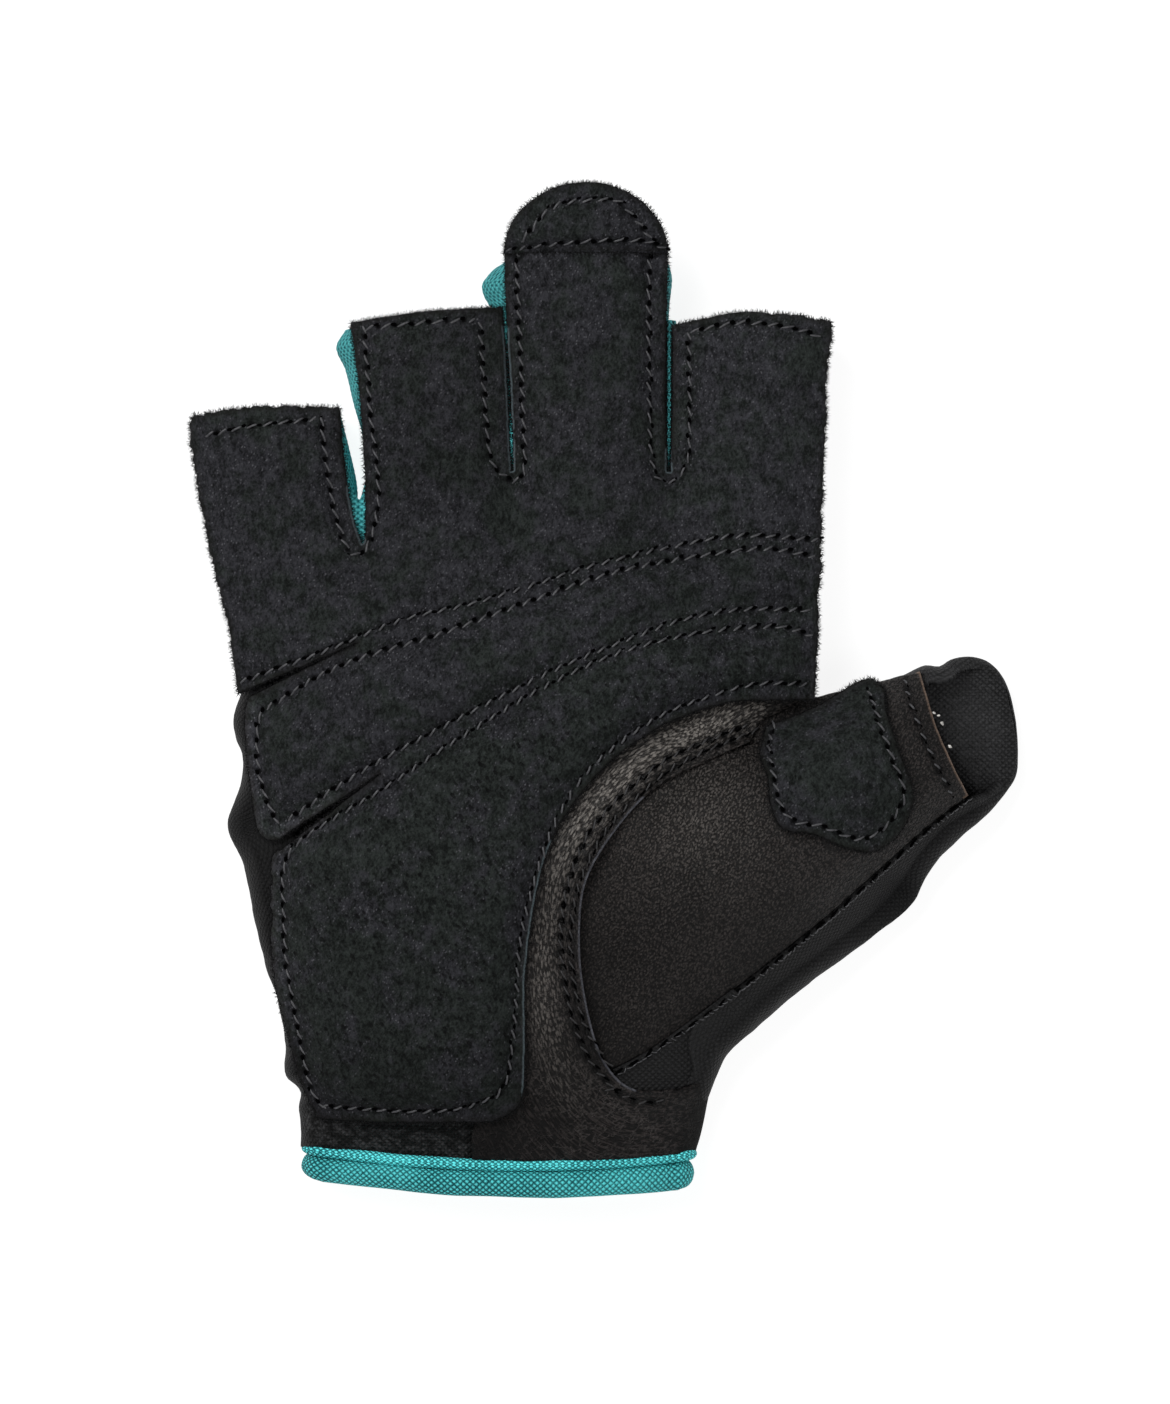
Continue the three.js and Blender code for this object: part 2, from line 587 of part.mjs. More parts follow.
function rollRing(centreAt, halfAt, deep) {
  const section = wristSection();
  const count = section.length;
  const grid = section.map(([x, z], i) => {
    const [x0, z0] = section[(i + count - 1) % count];
    const [x1, z1] = section[(i + 1) % count];
    const length = Math.hypot(x1 - x0, z1 - z0);
    const out = [(z1 - z0) / length, -(x1 - x0) / length];
    const u = across(x, wrist.left, wrist.right);
    return Array.from({ length: cuff.sides }, (unused, k) => {
      const turn = (k / cuff.sides) * 2 * Math.PI;
      const offset = -deep + deep * Math.cos(turn);
      return [x + out[0] * offset, centreAt(u) + halfAt(u) * Math.sin(turn), z + out[1] * offset];
    });
  });
  const indices = [];
  const at = (i, k) => (i % count) * cuff.sides + (k % cuff.sides);
  for (let i = 0; i < count; i += 1) {
    for (let k = 0; k < cuff.sides; k += 1) {
      indices.push(at(i, k), at(i + 1, k), at(i + 1, k + 1), at(i, k), at(i + 1, k + 1), at(i, k + 1));
    }
  }
  return solidFrom(grid.flat(2), indices);
}

const glove = new THREE.Group();

function addPiece(name, solid, material) {
  const { vertProperties, triVerts } = solid.getMesh();
  const geometry = new THREE.BufferGeometry();
  geometry.setAttribute('position', new THREE.BufferAttribute(vertProperties, 3));
  geometry.setIndex(new THREE.BufferAttribute(triVerts, 1));
  geometry.computeVertexNormals();
  const piece = new THREE.Mesh(geometry, material);
  piece.name = name;
  glove.add(piece);
}

addPiece('palm_suede', panel(suedeOutline, gap, gap + suede, { extra: padding }), materials.suede);
const tabLow = 2 * gap + suede;
addPiece('pull_tab', panel(tabOutline, tabLow, tabLow + suede, { curveSegments: 9 }), materials.suede);
addPiece('palm_leather', panel(palmLeatherOutline, -leather, 0), materials.leather);

const thumbTop = -leather - gap;
addPiece('thumb_leather', panel(thumbLeatherOutline, thumbTop - leather, thumbTop), materials.leather);
addPiece('thumb_patch', panel(thumbPatchOutline, thumbTop + gap, thumbTop + gap + suede), materials.suede);

const leatherRoom = panel(grown(thumbLeatherOutline, gap), thumbTop - leather - gap, thumbTop + leather);
const thumbBack = rolledSide(thumbSideRows, -1)
  .add(panel(thumbKnitOutline, thumbTop - knit, thumbTop))
  .subtract(leatherRoom)
  .add(prism(thumbBackOutline, 0, knit));
addPiece('thumb_back', thumbBack, materials.blackKnit);

const handBack = [
  rolledSide(handSideRows, 1),
  rolledSide(indexSideRows, 1),
  panel(wristKnitOutline, -knit, 0),
].reduce((whole, side) => whole.add(side), prism(backOutline, 0, knit));
addPiece('hand_back', handBack, materials.blackKnit);

for (const [name, rows] of Object.entries(gussetRows)) {
  addPiece(name, fourchette(rows), materials.tealKnit);
}

addPiece('cuff_piping', rollRing(pipingCentre, () => cuff.pipingHalf, 1.2), materials.tealKnit);
addPiece('cuff_band', rollRing(bandCentre, bandHalf, 1.7), materials.tealKnit);

export default glove;
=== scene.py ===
import math
import bmesh
import bpy
import numpy as np
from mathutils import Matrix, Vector, geometry, kdtree, noise


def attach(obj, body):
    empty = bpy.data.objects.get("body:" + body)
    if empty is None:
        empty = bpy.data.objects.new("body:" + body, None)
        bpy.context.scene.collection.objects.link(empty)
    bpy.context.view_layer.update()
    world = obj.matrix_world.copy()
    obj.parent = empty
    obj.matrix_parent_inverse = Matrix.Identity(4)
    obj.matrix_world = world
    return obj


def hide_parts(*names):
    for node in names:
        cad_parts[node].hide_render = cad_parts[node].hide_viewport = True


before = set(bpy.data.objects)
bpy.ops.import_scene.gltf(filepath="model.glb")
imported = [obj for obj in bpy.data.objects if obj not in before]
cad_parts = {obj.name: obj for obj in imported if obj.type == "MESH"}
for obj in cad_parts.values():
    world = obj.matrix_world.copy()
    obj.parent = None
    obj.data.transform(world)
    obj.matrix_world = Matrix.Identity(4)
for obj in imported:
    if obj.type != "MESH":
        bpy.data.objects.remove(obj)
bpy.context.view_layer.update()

mm = 0.001  # every size below is in millimetres, and meshes are scaled by this
scene = bpy.context.scene
print("frame loaded:", sorted(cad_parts))

# The levels of the layers over the form, and how fine their meshes are.
layers = {
    "suede": {"low": 0.3, "high": 1.7},
    "tab": {"low": 2.0, "high": 3.4},
    "leather": {"low": -1.2, "high": 0.0},
    "thumb": {"low": -2.7, "high": -1.5},
    "patch": {"low": -1.2, "high": 0.2},
    "knit": {"thick": 1.0},
}

# The form that the palm side is drawn over: a crown across the hand, the fingers and the thumb.
handTable = {
    "y": [-80, -70, -58, -40, -20, 0, 15, 30],
    "left": [-47, -47.2, -50, -53.5, -57.5, -57.5, -60, -63],
    "right": [14.6, 14.8, 19, 25, 30, 33, 33.8, 34.3],
    "edge": [7.2, 7.5, 8.5, 9.5, 10, 10.5, 10.5, 10],
    "middle": [14.5, 15, 17.5, 19, 19.5, 19, 17, 14],
}
fingerTable = {
    "y": [10, 25, 45, 60, 80],
    "little": [-59.5, -62, -64.5, -64.5, -64.5],
    "ring": [-37.2, -37.9, -39.2, -40.2, -40.4],
    "middle": [-13.6, -14.2, -14.9, -15.7, -15.7],
    "index": [10.1, 10.1, 10.1, 10.1, 10.1],
    "end": [33.6, 34, 34.6, 35.6, 36],
}
thumbTable = {
    "s": [-80, -62, -45, -25, -8, 3, 14],
    "half": [24, 25, 23, 17.5, 13.5, 12.4, 11.5],
    "edge": [3, 8, 10, 10, 9.5, 9, 8],
    "middle": [9, 17.5, 22, 22.5, 19, 16.5, 13],
}
channelTable = {
    "x": [-58, -47.5, -31, -15, 0, 16, 34],
    "upper": [-2.5, 2.6, 9.1, 14, 18.6, 22.2, 22.2],
    "lower": [-28, -21.5, -11, -1.8, 6, 10.6, 11.2],
}
shape = {
    "fingerEdge": 9.5,
    "fingerMiddle": 12.6,
    "rootY": 6,
    "freeY": 36,
    "thumbX": 53.3,
    "thumbY": -6.7,
    "thumbAngle": math.radians(31),
    "crownPower": 2.5,
    "softness": 1.2,
}


def tableReader(table, key):
    keys = np.array(table[key], float)

    def read(name, at):
        values = np.array(table[name], float)
        low = np.maximum(np.arange(len(keys)) - 1, 0)
        high = np.minimum(np.arange(len(keys)) + 1, len(keys) - 1)
        slopes = (values[high] - values[low]) / (keys[high] - keys[low])
        at = np.clip(at, keys[0], keys[-1])
        i = np.clip(np.searchsorted(keys, at, side="right") - 1, 0, len(keys) - 2)
        span = keys[i + 1] - keys[i]
        t = (at - keys[i]) / span
        ease = t * t * (3 - 2 * t)
        pull = t * (1 - t) ** 2 * slopes[i] * span + t * t * (t - 1) * slopes[i + 1] * span
        return values[i] + (values[i + 1] - values[i]) * ease + pull

    return read


hand = tableReader(handTable, "y")
fingers = tableReader(fingerTable, "y")
thumbAt = tableReader(thumbTable, "s")
channel = tableReader(channelTable, "x")


def smooth(value, low, high):
    t = np.clip((value - low) / (high - low), 0, 1)
    return t * t * (3 - 2 * t)


def crown(u):
    a = np.abs(u)
    power = shape["crownPower"]
    return np.where(a < 1, 1 - np.minimum(a, 1) ** power, -power * (a - 1))


def across(x, left, right):
    return (2 * x - left - right) / (right - left)


def hump(distance, wide):
    return np.exp(-(distance / wide) ** 2)


def spot(x, y, at, wide):
    # 1 at a place in plan, fading out over an oval round it
    return np.exp(-((x - at[0]) / wide[0]) ** 2 - ((y - at[1]) / wide[1]) ** 2)


def turned(x, y, angle):
    # how far along a direction in plan, and how far across it
    cos, sin = math.cos(angle), math.sin(angle)
    return x * cos + y * sin, y * cos - x * sin


def form(x, y):
    # the palm, each finger and the thumb are arched across, and run into each other softly
    x = np.asarray(x, float)
    y = np.asarray(y, float)
    edge = hand("edge", y)
    u = across(x, hand("left", y), hand("right", y))
    palm = edge + (hand("middle", y) - edge) * crown(u)
    sides = [fingers(name, y) for name in ("little", "ring", "middle", "index", "end")]
    u = across(x, sides[3], sides[4])
    for i in (2, 1, 0):
        u = np.where(x < sides[i + 1], across(x, sides[i], sides[i + 1]), u)
    finger = shape["fingerEdge"] + (shape["fingerMiddle"] - shape["fingerEdge"]) * crown(u)
    palm = palm + (finger - palm) * smooth(y, shape["rootY"], shape["freeY"])
    s, t = turned(x - shape["thumbX"], y - shape["thumbY"], shape["thumbAngle"])
    edge = thumbAt("edge", s)
    ball = edge + (thumbAt("middle", s) - edge) * crown(t / thumbAt("half", s))
    soft = shape["softness"]
    return np.maximum(palm, ball) + soft * np.log1p(np.exp(-np.abs(palm - ball) / soft))


def even(value):
    return lambda x, y: 0 * x + value


def level(layer, side):
    return lambda x, y: form(x, y) + layers[layer][side]


# Curves in plan.
def splinePoints(points, step):
    points = [np.array(p, float) for p in points]
    last = len(points) - 1
    out = []
    for i in range(last):
        p0, p1, p2, p3 = (points[k] for k in (max(i - 1, 0), i, i + 1, min(i + 2, last)))
        count = max(1, math.ceil(np.linalg.norm(p2 - p1) / step))
        for k in range(count):
            t = k / count
            v0, v1 = (p2 - p0) / 2, (p3 - p1) / 2
            rise = p2 - p1
            out.append(p1 + v0 * t + (3 * rise - 2 * v0 - v1) * t * t + (v0 + v1 - 2 * rise) * t ** 3)
    return out + [points[last]]


def outlineLoop(start, *stretches, step=0.4):
    loop = []
    here = start
    for stretch in [*stretches, [start]]:
        loop += splinePoints([here, *stretch], step)[:-1]
        here = stretch[-1]
    loop = np.array(loop)
    loop = loop[np.linalg.norm(loop - np.roll(loop, 1, axis=0), axis=1) > 1e-4]
    x, y = loop.T
    turning = np.sum(x * np.roll(y, -1) - y * np.roll(x, -1))
    return loop if turning > 0 else loop[::-1]


class Near:
    # distances in plan to a set of points, or to lines sampled closely
    def __init__(self, points):
        self.tree = kdtree.KDTree(len(points))
        for i, p in enumerate(points):
            self.tree.insert((p[0], p[1], 0), i)
        self.tree.balance()

    def find(self, x, y):
        found = [self.tree.find((a, b, 0)) for a, b in zip(np.ravel(x), np.ravel(y))]
        return np.array([f[2] for f in found]), np.array([f[1] for f in found], int)

    def distance(self, x, y):
        return self.find(x, y)[0]


def insideLoop(x, y, loop):
    inside = np.zeros(len(x), bool)
    for (ax, ay), (bx, by) in zip(loop, np.roll(loop, -1, axis=0)):
        if ay != by:
            crossing = ((ay > y) != (by > y)) & (x < (bx - ax) * (y - ay) / (by - ay) + ax)
            inside ^= crossing
    return inside


def nearLines(*curves, step=0.3):
    return Near([point for points in curves for point in splinePoints(points, step)])


def runAlong(points):
    # the distance covered up to each point
    return np.concatenate([[0], np.cumsum(np.linalg.norm(np.diff(points, axis=0), axis=1))])


def readAlong(line, at):
    run = runAlong(line)
    return np.column_stack([np.interp(at, run, line[:, 0]), np.interp(at, run, line[:, 1])])


def unit(vectors):
    return vectors / np.maximum(np.linalg.norm(vectors, axis=1), 1e-6)[:, None]


def rightOf(along):
    # square to a direction, on its right hand
    along = unit(along)
    return np.column_stack([along[:, 1], -along[:, 0]])


def outwardOf(loop):
    return rightOf(np.roll(loop, -1, axis=0) - np.roll(loop, 1, axis=0))


def fbm(x, y, size, seed, octaves=3, squeeze=1.0, turn=0.0):
    # size is along the turned x axis, and squeeze times finer across it
    a, b = turned(x, y, turn)
    a, b = a / size, b / size * squeeze
    return np.array([noise.fractal(Vector((p, q, seed)), 1.0, 2.0, octaves) for p, q in zip(a, b)])


relief = {  # the height, size and seed of each set of waves in a surface
    "suede": ((0.32, 21, 3.1), (0.14, 6, 8.4)),
    "nap": ((0.035, 1.3, 5.7),),
    "tab": ((0.12, 5, 2.2), (0.035, 1.3, 6)),
    "patch": ((0.25, 9, 4.6), (0.035, 1.3, 1.9)),
    "thumb": ((0.03, 2, 7.3),),
    "knit": ((0.14, 4, 5.5),),
    "web": ((0.08, 1.5, 2.4),),
}


def waves(name, x, y):
    return sum(high * fbm(x, y, size, seed, 2) for high, size, seed in relief[name])


def latticeInside(loop, spacing):
    rowGap = spacing * math.sqrt(3) / 2
    low, high = loop.min(0), loop.max(0)
    following = np.roll(loop, -1, axis=0)
    points = []
    for k, y in enumerate(np.arange(low[1] + rowGap / 2, high[1], rowGap)):
        cut = (loop[:, 1] > y) != (following[:, 1] > y)
        a, b = loop[cut], following[cut]
        crossings = np.sort(a[:, 0] + (b[:, 0] - a[:, 0]) * (y - a[:, 1]) / (b[:, 1] - a[:, 1]))
        shift = (k % 2) * spacing / 2
        for left, right in zip(crossings[::2], crossings[1::2]):
            first = math.ceil((left - shift) / spacing)
            xs = np.arange(first, math.floor((right - shift) / spacing) + 1) * spacing + shift
            points.append(np.column_stack([xs, np.full(len(xs), y)]))
    return np.vstack(points)


def triangulate(loop, inner):
    points = [Vector(p) for p in np.vstack([loop, inner])]
    count = len(loop)
    edges = [(i, (i + 1) % count) for i in range(count)]
    verts, _, faces, origins, _, _ = geometry.delaunay_2d_cdt(points, edges, [], 1, 1e-7)
    back = {}
    for i, sources in enumerate(origins):
        for source in sources:
            back[source] = i
    return np.array([tuple(v) for v in verts]), faces, [back[i] for i in range(count)]


# Rows of stitches. Points are sampled closely, and a stitch starts at every pitch.
stitch = {"pitch": 2.4, "sample": 0.3, "pitWide": 0.42}


def rowLine(points):
    return np.array(splinePoints(points, stitch["sample"]))


def stitchPlaces(line):
    # the middle of each stitch, where the thread pulls the surface in
    length = runAlong(line)[-1]
    count = max(1, int(length / stitch["pitch"]))
    return readAlong(line, (np.arange(count) + 0.5) * length / count)


suedeRows = {
    "fork1": [(-37.5, 56.4), (-36.6, 44), (-35.3, 32.4), (-35.6, 27.4), (-36.5, 23.6), (-38, 21.3),
              (-39.9, 21.9), (-41, 24.8), (-42, 27.8), (-43.2, 35), (-44.1, 42.2)],
    "fork2": [(-19.4, 57), (-18.8, 46.9), (-17.9, 36.9), (-16.4, 34.3), (-14.6, 32.8), (-12.8, 33.7),
              (-12.5, 38), (-12.7, 43), (-13.3, 57.3), (-13.8, 68.3)],
    "fork3": [(7.1, 68.9), (6.9, 60.1), (7.1, 41.4), (7.5, 35.6), (8.2, 33.4), (9.8, 32.5), (11.6, 33.4),
              (12.9, 35.8), (13.2, 39.3), (13.3, 47.3), (13.1, 55.4)],
    "littleTop": [(-61.7, 39.9), (-55.3, 41.1), (-47.5, 42), (-45.4, 42.3)],
    "ringTop": [(-36.6, 56.6), (-28, 57.3), (-20.6, 57.7)],
    "indexTop": [(14, 56.1), (17.2, 56.7), (22.1, 57.3), (29.2, 56.5), (33.1, 55.3)],
    "upperA": [(-56.4, 1.5), (-43.8, 6), (-31.9, 10.8), (-20.7, 13.5), (-11.5, 16.3), (-1.9, 19.4),
               (11.9, 22.7), (21.6, 24.1), (32.8, 23.5)],
    "upperB": [(-50.9, -20.4), (-52.8, -16.4), (-53.9, -12.1), (-54.1, -6.6), (-53.3, -3.2), (-50.9, -1.8),
               (-44.7, 2.1), (-37.7, 5.1), (-26.4, 8.5), (-13.5, 13.2), (0.9, 18.2), (13.7, 20.8),
               (24.9, 22.1), (32.4, 20.9)],
    "lowerC": [(-48.9, -19.9), (-43.3, -16.1), (-34.7, -10.8), (-21.6, -3.8), (-8.2, 3), (1, 6.9),
               (12.2, 11), (21.6, 12.6), (31.6, 12.5)],
    "lowerD": [(-43.9, -64.9), (-45.5, -62.8), (-46.8, -58), (-47.8, -52.6), (-49.5, -43), (-50, -33.8),
               (-50, -28.3), (-48.3, -24.3), (-43, -20.4), (-34.6, -15.4), (-22.4, -7.3), (-10.2, 0.1),
               (1, 5.4), (11.3, 8.3), (20, 9.6), (27.5, 9.9), (32, 8.6)],
    "heel": [(-43.6, -64.8), (-30.8, -65.4), (-23.2, -65), (-18.2, -63.4), (-15.6, -61.4), (-14.6, -57.4),
             (-13.7, -48.4), (-13.2, -40), (-11.5, -31.7), (-8.2, -21.6), (-3.8, -14), (1.2, -9),
             (8.5, -4), (15.2, -1.3), (23.2, 0.9), (31.2, 1)],
}
tabRows = {
    "base": [(-15, 68.7), (-8.5, 69.3), (-0.7, 69.9), (6.5, 69.9), (9, 69.1)],
    "arc": [(-12.4, 70.6), (-10.5, 72.8), (-8.6, 74.9), (-5.6, 75.9), (-1.3, 76.2), (1.8, 76.2),
            (4.2, 74), (6.8, 70.8)],
}
holeRows = {
    "outer": [(21.9, -5.5), (10.5, -10.2), (2.9, -16), (-2.1, -21.6), (-4.9, -27.5), (-6.4, -33.5),
              (-6.8, -39.2), (-6, -46.4), (-4.4, -52.6), (-2.2, -57.6), (1, -61.4)],
    "inner": [(23.3, -6.3), (11.6, -11.4), (3.9, -17.6), (-0.4, -22.7), (-3.6, -29), (-5, -35),
              (-5.2, -41.8), (-4, -48.9), (-2.2, -53.9), (0.4, -57.9)],
    "low": [(1, -62), (5.4, -64.1), (8.7, -64)],
}
patchRows = {
    "rim": [(26.4, -5.4), (25.6, -8), (25.6, -10.8), (26.4, -14.4), (27, -17.4), (29.2, -20.2),
            (33, -20.8), (38.9, -22.9), (42.6, -21.8), (45.6, -18.4), (46.4, -15.6), (44.4, -10),
            (42.8, -5.4), (42, -2.4), (41.3, -0.4)],
}
hemRows = {
    "hem": [(47, 1.4), (47.7, -2.1), (49.6, -7.3), (51.8, -12), (53.8, -15.8)],
}
seamPoints = [
    (2.5, -59.8), (7.8, -56.6), (17.6, -49.8), (33.6, -37.3), (42.8, -29.3), (50.8, -22.2), (57.2, -17.2),
]


class Rows:
    # the stitch rows of one layer: its grooves, and the hollows that the thread pulls at its holes
    def __init__(self, rows, deep, wide, pit):
        self.lines = [rowLine(points) for points in rows.values()]
        self.near = Near(np.vstack(self.lines))
        self.pits = Near(np.vstack([stitchPlaces(line) for line in self.lines]))
        self.deep, self.wide, self.pit = deep, wide, pit

    def grooveAt(self, x, y):
        return hump(self.near.distance(x, y), self.wide)

    def pitAt(self, x, y):
        return hump(self.pits.distance(x, y), stitch["pitWide"])

    def dip(self, x, y):
        return self.deep * self.grooveAt(x, y)

    def beside(self, offsets):
        # extra mesh points beside the rows, where the surface dips in a narrow groove
        sides = [rightOf(np.gradient(line, axis=0)) for line in self.lines]
        pairs = zip(self.lines, sides)
        return np.vstack([line - side * offset for line, side in pairs for offset in offsets])


seams = {
    "suede": Rows(suedeRows, deep=0.38, wide=1.0, pit=0.5),
    "tab": Rows(tabRows, deep=0.3, wide=0.9, pit=0.5),
    "leather": Rows(holeRows, deep=0.3, wide=0.8, pit=0.4),
    "patch": Rows(patchRows, deep=0.35, wide=0.9, pit=0.45),
    "thumb": Rows(hemRows, deep=0.25, wide=0.8, pit=0.35),
}

outlines = {
    "suede": outlineLoop(
        (-64.5, 42.6),
        [(-60, 43.5), (-54, 44.2), (-41.2, 44.2)],
        [(-40.8, 38.3), (-39.9, 30.7), (-38.7, 25.2), (-37.8, 22.9)],
        [(-37.3, 25), (-37.5, 36.3), (-38.4, 48), (-39.6, 57.4)],
        [(-28.8, 58.9), (-15.9, 59.9)],
        [(-15.3, 50), (-14.9, 40), (-14.6, 34.2)],
        [(-14.2, 34.4)],
        [(-14.3, 40), (-14.9, 50), (-15.4, 60), (-15.6, 68)],
        [(-14.6, 71)],
        [(8.8, 71)],
        [(9.9, 68)],
        [(9.6, 50), (9.75, 34.2)],
        [(10.35, 34.2)],
        [(10.6, 50), (10.5, 57)],
        [(21.1, 58.9), (28, 58.6), (35.5, 57.6)],
        [(34.6, 45.3), (33.9, 23.5), (32.8, -1.5)],
        [(26.6, -1.5), (18.2, -2.1), (8.5, -5.7), (-0.1, -11.9), (-7.4, -21.6), (-10.5, -30.8),
         (-12.4, -44.2)],
        [(-12.4, -60.1)],
        [(-13.4, -64.6), (-17.5, -67)],
        [(-42.2, -67), (-45.2, -65.4), (-46.9, -62.4), (-48.6, -56.7)],
        [(-51.2, -46), (-52.1, -35.8), (-51.6, -25.8)],
        [(-34.7, -12.9)],
        [(-48.4, -21.6)],
        [(-51.2, -23.3), (-53.6, -22.4), (-54.6, -19.4)],
        [(-55.9, -8), (-55.8, -2), (-54.6, -0.6)],
        [(-38.3, 7.4)],
        [(-55.3, 0.2)],
        [(-57.2, -0.6)],
        [(-58.7, 9.4), (-61.8, 23.5), (-64.5, 37.5), (-64.5, 42.6)],
    ),
    "leather": outlineLoop(
        (31, 1.5),
        [(18, 1.5), (8, -1), (-3, -8), (-10, -17), (-15, -31), (-17.4, -45), (-17.4, -61)],
        [(-20.4, -68), (-20.6, -73.05)],
        [(-8, -73.25), (4, -73.1), (14.4, -72.3)],
        [(15.3, -69.2), (16.2, -64.8), (16.8, -61.9)],
        [(15.6, -61.3), (13.6, -61.7), (10.4, -62.3), (4.4, -62), (0.6, -58.6), (-1.6, -53.6), (-3.4, -45),
         (-3.8, -37), (-2.8, -29.5), (1.2, -22.4), (7.6, -15.4), (16.6, -10.7), (22.6, -8)],
        [(24.2, -4.8)],
        [(31, -1.6)],
    ),
    "thumb": outlineLoop(
        (32.6, -1.2),
        [(24, -2.6), (14, -6), (4, -11.4), (-3, -19), (-7.4, -28), (-8.6, -38), (-7.6, -48), (-2, -60.4)],
        [(7.1, -55.9), (16.8, -48.9), (33, -36.3), (42.2, -28.3), (50.2, -21.3), (56.8, -16.4)],
        [(54.4, -12), (51.3, -4.8), (49.3, 3)],
        [(45.6, 2.1), (40, 0.6), (36.4, -0.2), (32.6, -1.2)],
    ),
    "patch": outlineLoop(
        (25.2, -5.6),
        [(33.4, -2.4), (38.5, 0.8), (41.6, 1.8), (43.6, 0.1)],
        [(43.9, -4), (46.1, -10.8), (47.8, -16.3), (46.1, -21.6), (41.9, -24.9), (36.7, -24.1), (32.2, -22.1),
         (27.6, -21.3), (25.7, -17.8), (25.2, -13.2), (24, -10)],
    ),
    "wristKnit": outlineLoop(
        (-45, -60),
        [(-18.4, -60)],
        [(-18.6, -68), (-18.8, -73.3)],
        [(-32, -72.9), (-45, -71.7)],
    ),
    "back": outlineLoop(
        (-59.6, 42),
        [(-42.2, 42)],
        [(-41.4, 34), (-40, 26), (-37.9, 21.4)],
        [(-36.4, 26), (-36.8, 40), (-38.6, 56.6)],
        [(-16.6, 59)],
        [(-16, 46), (-15.4, 36), (-14.4, 32.6)],
        [(-13.4, 36), (-13.9, 50), (-14.7, 67.4)],
        [(9.2, 67.4)],
        [(9, 50), (9.1, 36), (10.1, 32.8)],
        [(11.2, 36), (11.4, 56.4)],
        [(30.2, 56.4)],
        [(29, 20), (28, -2.4)],
        [(27, -5)],
        [(11.6, -57)],
        [(8.4, -71.6)],
        [(-4, -72.4), (-24, -72.3), (-43, -70.6)],
        [(-45.6, -60), (-48, -44), (-52, -30), (-53, -20), (-52, -8), (-52.6, 2), (-56, 16), (-59, 32),
         (-59.6, 42)],
    ),
    "thumbBack": outlineLoop(
        (27.4, -4.4),
        [(28.4, -2.6)],
        [(32, -3), (37, -2.6), (44, -1.4), (52, 1), (57, 1), (60, -2), (60.6, -9), (59, -13), (55.6, -16.6),
         (51, -21)],
        [(40, -33.6), (26, -44.6), (14.6, -56)],
        [(12.4, -61), (10.4, -71.3)],
        [(8.8, -71.4)],
        [(12, -57)],
    ),
    "thumbKnit": outlineLoop(
        (-2, -60.4),
        [(7.1, -55.9), (20, -46.4)],
        [(22, -49), (17, -55), (14, -60.4)],
        [(12, -64.4), (4, -64.8), (-2, -60.4)],
    ),
}
tab = {"x": -2.9, "y": 68.2, "halfWidth": 12.8, "height": 10.8, "steps": 90}
turns = np.linspace(0, math.pi, tab["steps"])
tabArc = np.column_stack([
    tab["x"] + tab["halfWidth"] * np.cos(turns),
    tab["y"] + tab["height"] * np.sin(turns),
])
tabBase = splinePoints([tabArc[-1], tabArc[0]], 0.4)[1:-1]
outlines["tab"] = np.vstack([tabArc, tabBase])

# Cut edges that waver, with small bites where the nap is torn, most of all along the outside.
fray = {
    "deep": {"suede": 0.55, "tab": 0.5, "patch": 0.5, "thumb": 0.3},
    "inside": 0.25,  # how much of it is left away from the outer edges
    "waver": 0.55,
    "waverSize": 5,
    "bites": 0.75,
    "biteSize": 1.1,
}
outerEdge = nearLines(
    [(-58.7, 9.4), (-61.8, 23.5), (-64.5, 37.5), (-64.5, 42.6), (-60, 43.5), (-41.2, 44.2)],
    [(28, 58.6), (35.5, 57.6), (34.6, 45.3), (33.9, 23.5), (33, 6)],
    [(-49.4, -56.7), (-51.2, -46), (-52.1, -35.8), (-51.6, -25.8)],
    step=0.5,
)
cutTips = Near([(-38.3, 7.4), (-34.7, -12.9)])


def frayed(loop, deep, seed):
    outside = smooth(outerEdge.distance(*loop.T), 3, 1.5)
    deep = deep * (fray["inside"] + (1 - fray["inside"]) * outside) * smooth(cutTips.distance(*loop.T), 2, 7)
    torn = fray["waver"] * fbm(*loop.T, fray["waverSize"], seed, 2)
    torn += fray["bites"] * fbm(*loop.T, fray["biteSize"], seed + 3, 2)
    return loop + outwardOf(loop) * (deep * torn)[:, None]


for name, deep in fray["deep"].items():
    outlines[name] = frayed(outlines[name], deep, 2.0 + deep)
near = {name: Near(loop) for name, loop in outlines.items()}

# Raw cut edges that show paler than the face, as stretches in plan.
rawEdges = {
    "suede": [
        [(-12.4, -62), (-12.4, -44.2), (-10.5, -30.8), (-8.4, -24)],
        [(-40, 31), (-38.7, 25.2), (-37.8, 22.9)],
        [(-15.6, 56), (-15.3, 50), (-14.9, 40), (-14.6, 34.2)],
        [(9.75, 37), (9.75, 34.2), (10.35, 34.2)],
    ],
    "leather": [
        [(4.2, -62), (0.6, -58.6), (-1.6, -53.6), (-3.4, -45), (-3.8, -37), (-2.8, -29.5), (1.2, -22.4),
         (5.6, -17.2)],
    ],
    "thumb": [[(56.8, -16.4), (54.4, -12), (51.3, -4.8), (49.3, 3)]],
}
rawNear = {name: nearLines(*curves) for name, curves in rawEdges.items()}


